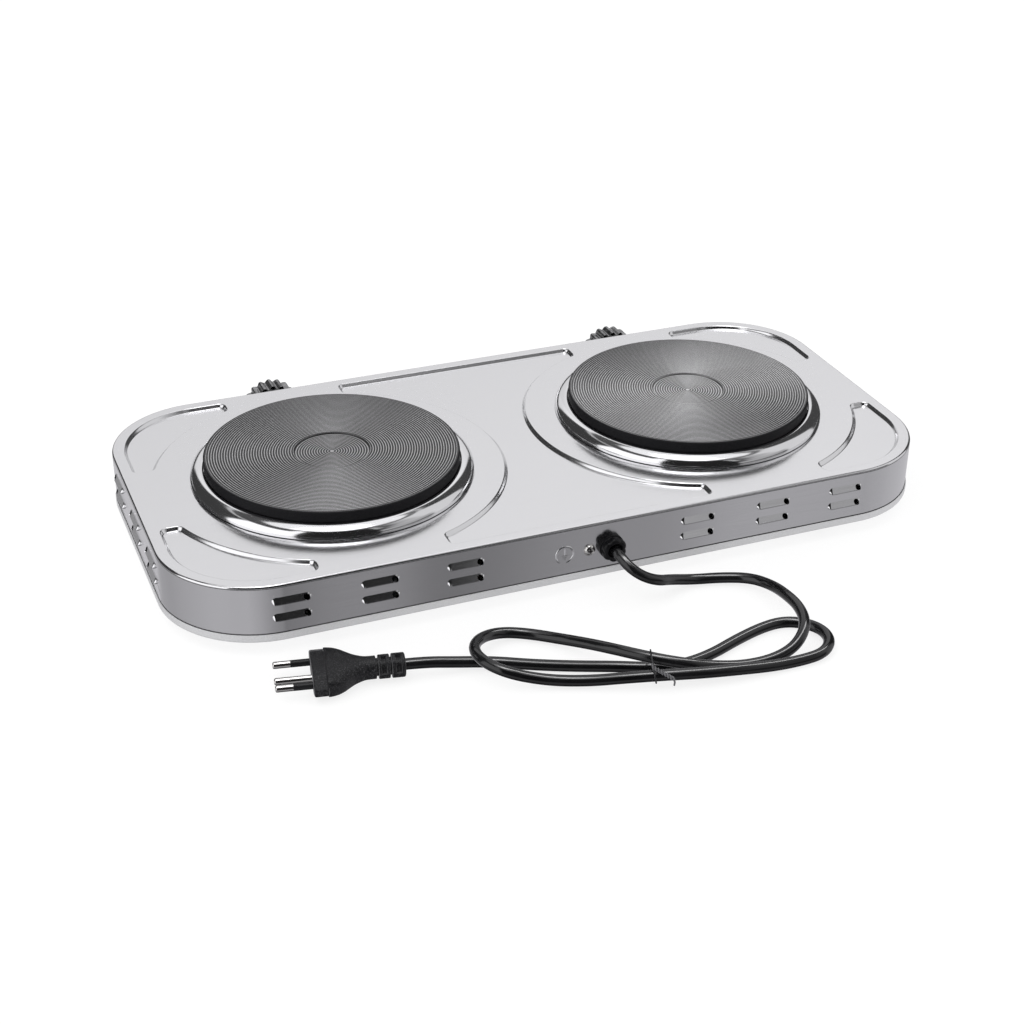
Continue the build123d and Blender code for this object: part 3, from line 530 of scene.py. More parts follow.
def fill(loops, extra=()):
    """Triangles of the area inside the first loop and outside the others."""
    pts, edges = [], []
    for L in loops:
        o, k = len(pts), len(L)
        pts += [Vector((float(p[0]), float(p[1]))) for p in L]
        edges += [(o + i, o + (i + 1) % k) for i in range(k)]
    pts += [Vector((float(p[0]), float(p[1]))) for p in extra]
    v, e, f, ov, oe, of_ = geometry.delaunay_2d_cdt(pts, edges, [], 1, 1e-7)
    back = [o[0] for o in ov]
    tri = np.array([[back[i] for i in t] for t in f])
    P = np.array([(q[0], q[1]) for q in pts])
    c = P[tri].mean(1)
    odd = np.zeros(len(c), bool)
    for L in loops:
        A = np.array([(float(q[0]), float(q[1])) for q in L])
        B = np.roll(A, -1, 0)
        for a, b in zip(A, B):
            if a[1] == b[1]:
                continue
            k = (a[1] > c[:, 1]) != (b[1] > c[:, 1])
            odd ^= k & (c[:, 0] < (b[0] - a[0]) * (c[:, 1] - a[1]) / (b[1] - a[1]) + a[0])
    return [list(map(int, t)) for t in tri[odd]]


def arc(cx, cy, r, a0, a1, n, s=1):
    out = []
    for k in range(n + 1):
        a = math.radians(a0 + (a1 - a0) * k / n)
        c, q = math.cos(a), math.sin(a)
        out.append(((cx + r * c, cy + r * q), (s * c, s * q)))
    return out


def tidy(loop):
    out = []
    for p, n in loop:
        if not out or math.dist(p, out[-1][0]) > 1e-4:
            out.append((p, n))
    if math.dist(out[0][0], out[-1][0]) < 1e-4:
        out.pop()
    return out


def shell_outline(dl=0.0, n=28):
    hx, hy, r = SHELL_L / 2, SHELL_W / 2, SHELL_R - dl
    cx, cy = hx - SHELL_R, hy - SHELL_R
    return tidy(arc(cx, cy, r, 0, 90, n) + arc(-cx, cy, r, 90, 180, n) + arc(-cx, -cy, r, 180, 270, n)
                + arc(cx, -cy, r, 270, 360, n))


def crescent(sx, sy):
    R, F = 101.0, 4.4
    cx = SHELL_L / 2 - SHELL_R
    cy = SHELL_W / 2 - SHELL_R
    ri = SHELL_R - 7.2
    ax = 154.4
    ay = math.sqrt((R + F) ** 2 - (ax - PLATE_X) ** 2)
    by = 37.9
    bx = PLATE_X + math.sqrt((R + F) ** 2 - by ** 2)
    fa = math.degrees(math.atan2(ay, ax - PLATE_X))
    fb = math.degrees(math.atan2(by, bx - PLATE_X))
    ox = SHELL_L / 2 - 7.2
    oy = SHELL_W / 2 - 7.2
    L = arc(cx, cy, ri, 0, 90, 30)
    L += arc(ax, oy - F, F, 90, 180, 8)
    L += arc(ax, ay, F, 180, 180 + fa, 8)
    L += arc(PLATE_X, 0, R, fa, fb, 44, -1)
    L += arc(bx, by, F, 180 + fb, 270, 6)
    L += arc(ox - F, by, F, 270, 360, 8)
    L = [((sx * p[0], sy * p[1]), (sx * n[0], sy * n[1])) for p, n in tidy(L)]
    return L if sx * sy > 0 else L[::-1]


def middle():
    R, F, X, H = 98.5, 3.6, 78.0, 104.0
    dy = math.sqrt((R + F) ** 2 - (PLATE_X - (X - F)) ** 2)
    a = math.degrees(math.atan2(dy, PLATE_X - (X - F)))       # about 68 degrees
    q = []
    q += arc(PLATE_X, 0, R, 180 + a, 180 - a, 60, -1)
    q += arc(X - F, dy, F, 360 - a, 360, 8)
    q += arc(X - F, H - F, F, 0, 90, 8)
    q += arc(-X + F, H - F, F, 90, 180, 8)
    q += arc(-X + F, dy, F, 180, 180 + a, 8)
    q += arc(-PLATE_X, 0, R, a, -a, 60, -1)
    q += arc(-X + F, -dy, F, 180 - a, 180, 8)
    q += arc(-X + F, -H + F, F, 180, 270, 8)
    q += arc(X - F, -H + F, F, 270, 360, 8)
    q += arc(X - F, -dy, F, 0, a, 8)
    return tidy(q)


# ---------------------------------------------------------------------------
# cord: one smooth curve on the route's own points
# ---------------------------------------------------------------------------
_yaw = math.radians(PLUG_YAW)
CORD_ROUTE = [
    (-12.2, 117.7, 25.5), (-12.2, 122.4, 25.5), (-14.9, 130.2, 21.6), (-21.4, 134.9, 17.0), (-30.4, 135.2, 12.9),
    (-39.7, 130.5, 8.8), (-55.3, 127.9, 3.8), (-70.9, 131.7, 3.9), (-85.2, 139.4, 4.9), (-91.2, 153.6, 6.9),
    (-90.4, 171.3, 10.7), (-89.3, 185.1, 12.2), (-85.5, 198.3, 11.9), (-78.8, 206.8, 9.4), (-70.2, 210.9, 5.5),
    (-57.0, 212.3, 3.0), (-40.8, 211.4, 3.0), (-24.9, 209.2, 5.6), (-11.3, 207.5, 9.4), (0.2, 202.1, 11.2),
    (10.7, 194.0, 12.0), (19.5, 184.3, 11.4), (27.2, 170.6, 7.9), (36.9, 156.1, 4.2), (50.1, 144.9, 3.6),
    (63.6, 140.7, 5.1), (75.7, 144.5, 7.5), (83.7, 152.9, 9.5), (86.3, 162.9, 10.7), (83.8, 173.0, 10.6),
    (77.3, 180.5, 9.1), (67.7, 184.7, 6.2), (53.9, 190.5, 4.2), (37.1, 197.1, 4.2), (20.6, 203.6, 6.1),
    (3.4, 209.6, 7.3), (-15.0, 214.3, 7.0), (-36.0, 217.3, 5.9), (-56.6, 217.9, 3.5), (-73.5, 218.0, 3.0),
    (-86.3, 217.3, 3.8), (-95.3, 209.1, 4.0), (-97.2, 197.4, 3.5), (-91.7, 187.4, 3.0), (-81.4, 182.2, 3.0),
    (-68.1, 183.4, 3.0), (-50.4, 189.2, 3.3), (-31.7, 196.4, 3.0), (-13.9, 199.7, 3.1), (2.8, 197.6, 3.9),
    (19.9, 190.4, 4.4), (38.6, 181.3, 3.3), (58.8, 171.6, 3.0), (77.3, 162.6, 3.7), (97.2, 158.3, 5.6),
    (PLUG_END[0] - 11.0 * math.cos(_yaw), PLUG_END[1] - 11.0 * math.sin(_yaw), PLUG_END[2]), PLUG_END,
]


def wire(name, pts, d, mat, nurbs=True, cyclic=False, body="cooker", taper=None, res=16):
    cu = bpy.data.curves.new(name, "CURVE")
    cu.dimensions = "3D"
    cu.resolution_u = res
    cu.bevel_depth = d / 2 * MM
    cu.bevel_resolution = 6
    cu.use_fill_caps = True
    sp = cu.splines.new("NURBS" if nurbs else "POLY")
    sp.points.add(len(pts) - 1)
    for p, q in zip(sp.points, pts):
        p.co = (q[0] * MM, (q[1] + YC) * MM, q[2] * MM, 1.0)
    if taper:
        for p, t in zip(sp.points, taper):
            p.radius = t
    if nurbs:
        sp.use_endpoint_u = not cyclic
        sp.order_u = 3
    sp.use_cyclic_u = cyclic
    sp.use_smooth = True
    ob = bpy.data.objects.new(name, cu)
    scene.collection.objects.link(ob)
    cu.materials.append(mat.m)
    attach(ob, body)
    return ob


cord = wire("mains_cord", CORD_ROUTE, CORD_D, CORD)
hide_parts("power_cord")


# ---------------------------------------------------------------------------
# housing: top sheet with its recessed panels, rolled edge and skirt
# ---------------------------------------------------------------------------
def smooth(t):
    return t * t * (3 - 2 * t)


def louvre_outline(n=12, m=10):
    L, r = LOUVRE_L / 2, LOUVRE_H / 2
    pts = [p for p, _ in arc(L - r, 0, r, -90, 90, n)] + [p for p, _ in arc(-L + r, 0, r, 90, 270, n)]
    out = []
    for i, p in enumerate(pts):
        q = pts[(i + 1) % len(pts)]
        k = max(1, int(math.dist(p, q) / 1.2))
        for j in range(k):
            out.append((p[0] + (q[0] - p[0]) * j / k, p[1] + (q[1] - p[1]) * j / k))
    return out


LIP_V = -LOUVRE_H / 2 + 0.95          # height of the hood's free lower edge


def louvre_height(u, v):
    L, r = LOUVRE_L / 2, LOUVRE_H / 2
    # soft ends
    ea = min(1.0, max(0.0, (L - abs(u)) / 1.5))
    e = math.sin(ea * math.pi / 2) ** 1.2 if ea > 0 else 0.0
    # face leaning out towards the bottom, from a crease along the top
    w = math.sqrt(max(0.0, r * r - max(0.0, abs(u) - (L - r)) ** 2))
    if w < 1e-6:
        return 0.0
    t = (w - v) / (2 * w)
    face = min(1.0, t / 0.80)
    drop = smooth(min(1.0, max(0.0, (1.0 - t) / 0.16)))
    return (LOUVRE_OUT - 0.05) * e * face * drop


def around(u):
    """Point of the housing's side at distance u along its outline from (+X side, -Y end), with its normal."""
    hx, hy, R = SHELL_L / 2, SHELL_W / 2, SHELL_R
    cx, cy = hx - R, hy - R
    q = math.pi / 2 * R
    u = u % (4 * q + 4 * cx + 4 * cy)
    for k, (L, p0, d, c) in enumerate(((2 * cy, (hx, -cy), (0, 1), (cx, cy)), (2 * cx, (cx, hy), (-1, 0), (-cx, cy)),
                                       (2 * cy, (-hx, cy), (0, -1), (-cx, -cy)), (2 * cx, (-cx, -hy), (1, 0), (cx, -cy)))):
        if u <= L:
            return (p0[0] + d[0] * u, p0[1] + d[1] * u), (d[1], -d[0])
        u -= L
        if u <= q:
            a = k * math.pi / 2 + u / R
            return (c[0] + R * math.cos(a), c[1] + R * math.sin(a)), (math.cos(a), math.sin(a))
        u -= q
    return (hx, -cy), (1, 0)


QUARTER = math.pi / 2 * SHELL_R
CX, CY = SHELL_L / 2 - SHELL_R, SHELL_W / 2 - SHELL_R


_louvre = {}


def louvre_shape(end):
    """The pressed shape as places (along, up, out) with their slopes, made once for each hand."""
    if end in _louvre:
        return _louvre[end]
    outl = louvre_outline()
    L, r = LOUVRE_L / 2, LOUVRE_H / 2
    hc = end * (L - 2.5)
    lean = -end * 0.22
    hole = []
    for k in range(28):
        a = 2 * math.pi * k / 28
        x, y = 1.75 * math.cos(a), 1.9 * math.sin(a)
        hole.append((hc + x + lean * y, y * 0.92 + 0.10))
    extra = []
    for i in range(-22, 23):
        for j in range(-5, 6):
            a, b = i * 0.46, j * 0.41
            if math.hypot(max(0.0, abs(a) - (L - r)), b) > r - 0.25:
                continue
            if ((a - hc - lean * b) / 2.05) ** 2 + ((b - 0.1) / 2.05) ** 2 < 1:
                continue
            extra.append((a, b))
    loops = [outl, hole]
    tris = fill(loops, extra)
    rows = []
    eps = 0.02
    for (a, b) in [p for Lp in loops for p in Lp] + extra:
        on_edge = math.hypot(max(0.0, abs(a) - (L - r)), b) > r - 1e-3
        h = 0.0 if on_edge else louvre_height(a, b)
        s = 0.985 if on_edge else 1.0
        hu = (louvre_height(a * s + eps, b * s) - louvre_height(a * s - eps, b * s)) / (2 * eps)
        hv = (louvre_height(a * s, b * s + eps) - louvre_height(a * s, b * s - eps)) / (2 * eps)
        rows.append((a, b, h, hu, hv))
    _louvre[end] = (rows, tris, len(outl), len(hole), hc)
    return _louvre[end]


def louvre(geo, u0, z0, end):
    """One pressed louvre on the skirt: a hood with soft ends and an opening at one end (end is +1 or -1 along u)."""
    rows, tris, k0, k, hc = louvre_shape(end)
    v, n = [], []
    for a, b, h, hu, hv in rows:
        q, m = around(u0 + a)
        N = np.array((m[0], m[1], 0.0))
        T = np.array((-m[1], m[0], 0.0))
        v.append(np.array((q[0], q[1], z0 + b)) + h * N)
        nn = N - hu * T - hv * np.array((0, 0, 1.0))
        n.append(nn / np.linalg.norm(nn))
    v, n = np.array(v), np.array(n)
    geo.add(v, n, tris)
    inner = v - 0.6 * n
    geo.add(inner, -n, tris)
    c = v[k0:k0 + k].mean(0)
    nm = around(u0 + hc)[1]
    N = np.array((nm[0], nm[1], 0.0))
    rim_v, rim_n, rim_f = [], [], []
    for i in range(k):
        for q in (v[k0 + i], inner[k0 + i]):
            rim_v.append(q)
            rim_n.append((c - q) - ((c - q) @ N) * N)
        j = (i + 1) % k
        rim_f.append([2 * i, 2 * i + 1, 2 * j + 1, 2 * j])
    geo.add(rim_v, rim_n, rim_f)


def housing():
    g = Geo()
    skin = Geo()
    # rolled edge
    out0 = shell_outline(0.0)
    rings = []
    for k in range(9):
        a = math.radians(90 * k / 8)
        z = TOP_Z - EDGE_R + EDGE_R * math.cos(a)
        off = EDGE_R - EDGE_R * math.sin(a)
        rings.append([((p[0] - n[0] * off, p[1] - n[1] * off, z), (n[0] * math.sin(a), n[1] * math.sin(a), math.cos(a)))
                      for p, n in out0])
    skin.loft(rings, mi=1)
    # recessed panels
    W0, W = 0.5, 2.3
    holes = []
    for L in [crescent(sx, sy) for sx in (-1, 1) for sy in (-1, 1)] + [middle()]:
        rr = []
        K = 10
        for k in range(K + 1):
            t = k / K
            s = -W0 + W * t
            z = TOP_Z - PAN_D * smooth(t)
            sl = PAN_D * 6 * t * (1 - t) / W
            rr.append([((p[0] - n[0] * s, p[1] - n[1] * s, z), (-n[0] * sl, -n[1] * sl, 1.0)) for p, n in L])
        skin.loft(rr)
        holes.append([q[0][:2] for q in rr[0]])
        inner = [q[0] for q in rr[-1]]
        skin.add(inner, [(0, 0, 1)] * len(inner), fill([inner]))
    for sx in (-1, 1):
        holes.append([p for p, _ in tidy(arc(sx * PLATE_X, PLATE_Y, HOLE_R, 0, 360, 96))])
    outer = [q[0][:2] for q in rings[0]]
    tris = fill([outer] + holes)
    pts = [p for L in [outer] + holes for p in L]
    skin.add([(p[0], p[1], TOP_Z) for p in pts], [(0, 0, 1)] * len(pts), tris)

    # skirt, unrolled along its outline: places are (distance along, height)
    zt, zb = TOP_Z - EDGE_R, SKIRT_Z0
    us = []
    start = 0.0
    for L in (2 * CY, 2 * CX, 2 * CY, 2 * CX):
        us.append(start)
        us += [start + L + QUARTER * k / 28 for k in range(28)]
        start += L + QUARTER
    us.append(start)
    zs = FOOT_H + LIP_H + 0.6
    ze = zt - 0.5                         # a dark line runs along the foot of the rolled edge
    loops = [[(u, zs) for u in us] + [(u, ze) for u in us[::-1]]]
    rear = 2 * CY + QUARTER + CX          # the middle of the rear side
    front = 4 * CY + 3 * QUARTER + 3 * CX
    minus_x = 2 * CY + 2 * QUARTER + 2 * CX + CY
    louvres = [(rear - x, 1) for x in LOUVRE_REAR_X] + [(CY + y, -1) for y in LOUVRE_END_Y] \
        + [(minus_x - y, 1) for y in LOUVRE_END_Y]
    lo = Geo()
    for u0, end in louvres:
        for z in LOUVRE_Z:
            loops.append([(p[0] + u0, p[1] + z) for p in louvre_outline()])
            louvre(lo, u0, z, end)
    for u0, z, r in ((rear - GLAND_X, GLAND_Z, 6.1), (rear - EARTH_X, EARTH_Z, 1.6), (front - KNOB_X, KNOB_Z, 5.1),
                     (front + KNOB_X, KNOB_Z, 5.1), (front - 72.0, 25.0, 4.6), (front + 72.0, 25.0, 4.6)):
        loops.append([(u0 + r * math.cos(2 * math.pi * k / 32), z + r * math.sin(2 * math.pi * k / 32)) for k in range(32)])
    vv, nn = [], []
    for L in loops:
        for u, z in L:
            q, m = around(u if u < start else u - 1e-9)
            vv.append((q[0], q[1], z))
            nn.append((m[0], m[1], 0.0))
    skin.add(vv, nn, fill(loops), 1)
    # painted shade: the skirt's strip behind the tray's lip, and 0.6 mm above it, is painted dark
    skin.loft([[((p[0], p[1], z), (n[0], n[1], 0.0)) for p, n in out0] for z in (zs, zb)], mi=2)
    # painted shade: the strip of the skirt just under the rolled edge is painted darker
    skin.loft([[((p[0], p[1], z), (n[0], n[1], 0.0)) for p, n in out0] for z in (zt, ze)], mi=3)

    # the sheet's inner face and its cut edges
    v, n = np.array(skin.v), np.array(skin.n)
    n /= np.linalg.norm(n, axis=1)[:, None]
    inner = v - SHEET * n
    g.v, g.n, g.f, g.m = list(map(tuple, v)), list(map(tuple, n)), [list(f) for f in skin.f], list(skin.m)
    g.add(inner, -n, skin.f, 1)
    # bottom edge
    bot = shell_outline(0.0)
    bi = shell_outline(SHEET)
    g.loft([[((p[0], p[1], zb), (0, 0, -1)) for p, _ in bot], [((p[0], p[1], zb), (0, 0, -1)) for p, _ in bi]])
    # plate openings' edge
    for sx in (-1, 1):
        c = tidy(arc(sx * PLATE_X, PLATE_Y, HOLE_R, 0, 360, 96))
        g.loft([[((p[0], p[1], z), (-q[0], -q[1], 0)) for p, q in c] for z in (TOP_Z, TOP_Z - SHEET)])
    ob = g.piece("housing", [STEEL, SIDE, SKIRT_SHADE, CREASE], slot="brushed_stainless", stands_for=("housing_shell",))
    lo.piece("housing_louvres", SIDE, slot="brushed_stainless")
    return ob


housing()


# ---------------------------------------------------------------------------
# base tray: floor with its slots and an upturned lip
# ---------------------------------------------------------------------------
def base_tray():
    g = Geo()
    zt = FOOT_H + LIP_H
    sect = rounded([(LIP_T + 3.0, FOOT_H), (0.0, FOOT_H), (0.0, zt), (LIP_T, zt), (LIP_T, FOOT_H + TRAY_T)],
                   [0, 1.4, 0.3, 0.3, 0], 5)
    # the path runs in along the underside, up the outer face, over and down the inner face
    o = shell_outline(-LIP_T)
    fixed = [[((q[0] - n[0] * p[0], q[1] - n[1] * p[0], p[1]), (n[0] * d[1], n[1] * d[1], d[0])) for q, n in o]
             for p, d in sect]
    cur = [fixed[0]]
    for a, b in zip(fixed, fixed[1:]):
        if math.dist(a[0][0], b[0][0]) < 1e-9:
            if len(cur) > 1:
                g.loft(cur)
            cur = [b]
        else:
            cur.append(b)
    g.loft(cur)
    # floor
    inn = [(p[0] - n[0] * (LIP_T + 3.0 - LIP_T) , p[1] - n[1] * (LIP_T + 3.0 - LIP_T)) for p, n in shell_outline(0.0)]
    up = [(p[0], p[1]) for p, n in shell_outline(0.0)]
    holes = []
    for i in range(-3, 4):
        for sy in (-1, 1):
            x, y = i * 34.0, sy * 30.0
            holes.append([p for p, _ in tidy(arc(x + 9, y, 2, -90, 90, 8) + arc(x - 9, y, 2, 90, 270, 8))])
    for sx in (-1, 1):
        for sy in (-1, 1):
            holes.append([p for p, _ in tidy(arc(sx * 176.0, sy * 60.0, 2.1, 0, 360, 24))])
            holes.append([p for p, _ in tidy(arc(sx * 150.0, sy * 102.5, 1.8, 0, 360, 24))])
    for outer, z, s in ((inn, FOOT_H, -1), (up, FOOT_H + TRAY_T, 1)):
        pts = [p for L in [outer] + holes for p in L]
        g.add([(p[0], p[1], z) for p in pts], [(0, 0, s)] * len(pts), fill([outer] + holes))
    for h in holes:
        c = np.mean(h, axis=0)
        g.loft([[((p[0], p[1], z), (c[0] - p[0], c[1] - p[1], 0)) for p in h] for z in (FOOT_H, FOOT_H + TRAY_T)])
    g.piece("base_pan", TRAY, slot="tray_steel", stands_for=("base_tray",))


base_tray()


# ---------------------------------------------------------------------------
# plates and trim rings
# ---------------------------------------------------------------------------
def hot_plate(name, x):
    g = Geo()
    y = PLATE_Y
    N = 200
    prof, dark = [], []

    def grooves(r0, r1, z, pitch, depth, k=5):
        n = int(round((r1 - r0) / pitch)) * k
        for i in range(n + 1):
            t = i / n
            r = r0 + (r1 - r0) * t
            ph = 2 * math.pi * (i / k)
            c = 0.5 - 0.5 * math.cos(ph)
            dz = -depth * c
            sl = -depth * 0.5 * math.sin(ph) * 2 * math.pi / ((r1 - r0) / n * k)
            d = np.array([1.0, sl])
            prof.append((np.array([r, z + dz]), d / np.linalg.norm(d)))
            dark.append(len(prof) - 1 if i % k in range(1, k - 1) else -1)

    zt, zd = PLATE_TOP, PLATE_TOP - 0.9
    prof.append((np.array([0.0, zd]), np.array([1.0, 0.0])))
    grooves(1.0, 20.4, zd, 1.45, 0.24, 6)
    # the step up from the centre dish: its wall takes the darker groove iron, as painted shade
    first = len(prof)
    prof += rounded([(20.4, zd), (20.8, zd), (21.4, zt), (21.8, zt)], [0, 0.15, 0.15, 0], 3)[1:-1]
    wall = range(first, len(prof))
    grooves(21.8, 70.9, zt, 1.47, 0.30, 6)
    rows = set(dark) | set(wall)
    start = 0
    while start < len(prof) - 1:
        kind = start in rows
        stop = start + 1
        while stop < len(prof) - 1 and (stop in rows) == kind:
            stop += 1
        lathe(g, [(p, -d) for p, d in prof[start:stop + 1]], N, x, y, mi=2 if kind else 0)
        start = stop
    edge = rounded([(70.9, zt), (PLATE_R, zt), (PLATE_R, RIM_BOT), (70.5, RIM_BOT), (70.5, 34.0), (66.0, 34.0)],
                   [0, 1.1, 0.5, 0, 0.8, 0], 5)
    k = 2
    lathe(g, [(p, -d) for p, d in edge[:k]], N, x, y, mi=2)
    lathe(g, [(p, -d) for p, d in edge[k - 1:]], N, x, y, mi=1)
    g.n = [tuple(-c for c in q) for q in g.n]
    return g.piece(f"plate_{name}", [IRON, IRON_EDGE, IRON_GROOVE], slot="plate_iron", stands_for=(f"hot_plate_{name}",))


def trim(name, x):
    g = Geo()
    pts = [(70.6, 47.4), (72.3, 47.4), (73.3, TOP_Z), (78.8, TOP_Z), (78.8, 42.05), (80.7, 42.05), (80.7, 42.7)]
    # the visible roll: a full round crest falling steeply to the sheet
    c = [(80.7, 42.7), (80.45, 43.9), (79.7, 45.3), (78.5, 46.6), (77.0, 47.6), (75.4, 48.25), (74.1, 48.5), (73.2, 48.42),
         (72.75, 48.15), (72.6, 47.7)]
    P = np.array(c)
    t = np.arange(len(P))
    from_curve = []
    # a smooth curve through these places
    m = np.gradient(P, axis=0)
    for i in range(len(P) - 1):
        for k in range(6):
            s = k / 6
            h00, h10, h01, h11 = 2 * s**3 - 3 * s**2 + 1, s**3 - 2 * s**2 + s, -2 * s**3 + 3 * s**2, s**3 - s**2
            q = h00 * P[i] + h10 * m[i] + h01 * P[i + 1] + h11 * m[i + 1]
            d = ((6 * s**2 - 6 * s) * P[i] + (3 * s**2 - 4 * s + 1) * m[i] + (-6 * s**2 + 6 * s) * P[i + 1]
                 + (3 * s**2 - 2 * s) * m[i + 1])
            from_curve.append((q, d / np.linalg.norm(d)))
    from_curve.append((P[-1], m[-1] / np.linalg.norm(m[-1])))
    lathe(g, rounded(pts, [0, 0, 0, 0, 0.0, 0.2, 0], 4) , 192, x, PLATE_Y)
    lathe(g, from_curve, 192, x, PLATE_Y)
    g2 = rounded([(72.6, 47.7), (72.6, 47.5), (70.6, 47.5), (70.6, 47.4)], 0)
    lathe(g, g2, 192, x, PLATE_Y)
    return g.piece(f"trim_{name}", POLISH, slot="polished_trim", stands_for=(f"trim_ring_{name}",))


for _n, _s_ in (("left", -1), ("right", 1)):
    hot_plate(_n, _s_ * PLATE_X)
    trim(_n, _s_ * PLATE_X)


# ---------------------------------------------------------------------------
# knobs
# ---------------------------------------------------------------------------
def knob(name, x):
    g = Geo()
    z = KNOB_Z
    yb, yf = -KNOB_BACK, -KNOB_FRONT
    # flange behind the grip
    fl = rounded([(10.2, yb), (15.6, yb), (15.6, yb - 3.2), (13.6, yb - 3.2)], [0, 0.5, 0.9, 0], 6)
    lathe(g, fl, 96, x, z, axis="Y", outward=1, mi=1)
    # fluted grip
    n = 18 * 10

    def rad(a, k):
        c = 0.5 - 0.5 * math.cos(18 * a)
        return 14.9 + 2.1 * c ** 0.8 * k

    rows = [(yb - 3.1, 0.0, 1.0, 0), (yb - 4.6, 0.0, 1.0, 0), (yf + 3.0, 0.0, 1.0, 0), (yf + 2.0, 0.12, 0.96, 0.15),
            (yf + 1.2, 0.42, 0.86, 0.4), (yf + 0.55, 0.95, 0.66, 0.75), (yf + 0.15, 1.75, 0.36, 1.6), (yf, 2.7, 0.0, 6.0)]
    rings = []
    for yy, cut, k, slope in rows:
        ring = []
        for i in range(n):
            a = 2 * math.pi * i / n
            r = rad(a, k) - cut
            da = 1e-3
            dr = (rad(a + da, k) - rad(a - da, k)) / (2 * da)
            er = np.array([math.cos(a), math.sin(a)])
            et = np.array([-math.sin(a), math.cos(a)])
            nn = er * r - et * dr
            nn /= np.linalg.norm(nn)
            ring.append(((x + r * er[0], yy, z + r * er[1]), (nn[0], -slope, nn[1])))
        rings.append(ring)
    g.loft(rings)
    # front face, slightly dished, with a pointer
    r0 = 14.9 - 2.7
    face = rounded([(r0, yf), (11.2, yf), (10.4, yf + 0.7), (0.0, yf + 0.7)], [0, 0.5, 0.6, 0], 5)
    lathe(g, face, 96, x, z, axis="Y", outward=1, mi=1)
    g.piece(f"control_knob_{name}", [KNOB_GRIP, KNOB], body=f"{name}_control", slot="knob_plastic", stands_for=(f"knob_{name}",))
    # raised pointer
    p = Geo()
    w = 1.1
    pr = rounded([(-w, 0), (-w * 0.8, 0.9), (w * 0.8, 0.9), (w, 0)], [0, 0.35, 0.35, 0], 4)
    rings = []
    for zz, s in ((1.0, 0.0), (1.15, 0.7), (1.8, 1.0), (11.4, 1.0), (12.2, 0.7), (12.45, 0.0)):
        rings.append([((x + q[0] * (0.6 + 0.4 * s), yf + 0.72 - q[1] * 0.75 * s, z + zz), (-d[1] * -1 * -1, -d[0], 0.0))
                      for q, d in pr])
    p.loft(rings, closed=False)
    v = np.array(p.v)
    p.piece(f"knob_pointer_{name}", POINTER, body=f"{name}_control", slot="knob_plastic")


KNOB_GRIP = Mat("knob_grip", (0.24, 0.24, 0.245), 0.9, 0.2)
_g = KNOB_GRIP.noise(1200.0, 3.0, 0.6)
_w = KNOB_GRIP.noise(260.0, 3.0, 0.6)
KNOB_GRIP.color(KNOB_GRIP.mix(KNOB_GRIP.rng(_w, 0.0, 1.0), (0.10, 0.10, 0.102), (0.40, 0.40, 0.405)))
KNOB_GRIP.rough(KNOB_GRIP.rng(_g, 0.13, 0.28)).bump(_g, 0.2, 0.00005)
POINTER = plastic("pointer_white", (0.62, 0.62, 0.60), 0.45, 900.0, 0.2, 0.00004, 0.06)
for _n, _s_ in (("left", -1), ("right", 1)):
    knob(_n, _s_ * KNOB_X)


# ---------------------------------------------------------------------------
# rear fittings
# ---------------------------------------------------------------------------
def gland():
    g = Geo()
    x, z = GLAND_X, GLAND_Z
    # round flange against the skirt
    fl = rounded([(6.0, RO), (7.3, RO), (7.3, RO + 1.7), (6.6, RO + 1.7), (6.2, RO + 2.3), (6.0, RO + 2.3)], [0, 0.2, 0.5, 0.2, 0.2, 0], 6)
    lathe(g, fl, 96, x, z, axis="Y", outward=-1)
    # six-sided front with rounded corners and a rounded front edge
    n = 144
    af = 6.7

    def hexr(a, rc=3.6):
        # support of a hexagon with its flats on +-X, corners rounded by rc
        b = (a + math.pi / 6) % (math.pi / 3) - math.pi / 6
        b2 = abs(b)
        full = af / math.cos(b2)
        corner = (af - rc) / math.cos(math.pi / 6)
        # point on the rounding circle when the ray passes near the corner
        ca = math.pi / 6 - b2
        q = corner * math.cos(ca)
        s2 = corner * math.sin(ca)
        if s2 < rc:
            r = q + math.sqrt(rc * rc - s2 * s2)
            return min(full, r)
        return full

    rows = [(RO + 2.2, 0.7, -2.0), (RO + 2.5, 0.15, -1.0), (RO + 3.0, 0.0, 0.0), (GLAND_FRONT - 1.3, 0.0, 0.0), (GLAND_FRONT - 0.75, 0.18, 0.45),
            (GLAND_FRONT - 0.3, 0.55, 1.0), (GLAND_FRONT - 0.05, 1.1, 2.2), (GLAND_FRONT, 1.7, 8.0)]
    rings = []
    for yy, cut, slope in rows:
        ring = []
        for i in range(n):
            a = 2 * math.pi * i / n
            r = hexr(a) - cut
            da = 1e-3
            dr = (hexr(a + da) - hexr(a - da)) / (2 * da)
            er = np.array([math.cos(a), math.sin(a)])
            et = np.array([-math.sin(a), math.cos(a)])
            nn = er * r - et * dr
            nn /= np.linalg.norm(nn)
            ring.append(((x + r * er[0], yy, z + r * er[1]), (nn[0], slope, nn[1])))
        rings.append(ring)
    # front face in to the cord
    ring = []
    for i in range(n):
        a = 2 * math.pi * i / n
        ring.append(((x + 4.6 * math.cos(a), GLAND_FRONT, z + 4.6 * math.sin(a)), (0, 1, 0)))
    rings.append(ring)
    g.loft(rings)
    bore = rounded([(4.6, GLAND_FRONT), (4.2, GLAND_FRONT - 0.5), (3.5, GLAND_FRONT - 1.4), (3.0, GLAND_FRONT - 1.6)],
                   [0, 0.3, 0.3, 0], 4)
    lathe(g, bore, 72, x, z, axis="Y", outward=-1)
    g.piece("gland_body", BLACK, slot="black_plastic", stands_for=("cable_gland", "gland_sleeve"))


gland()


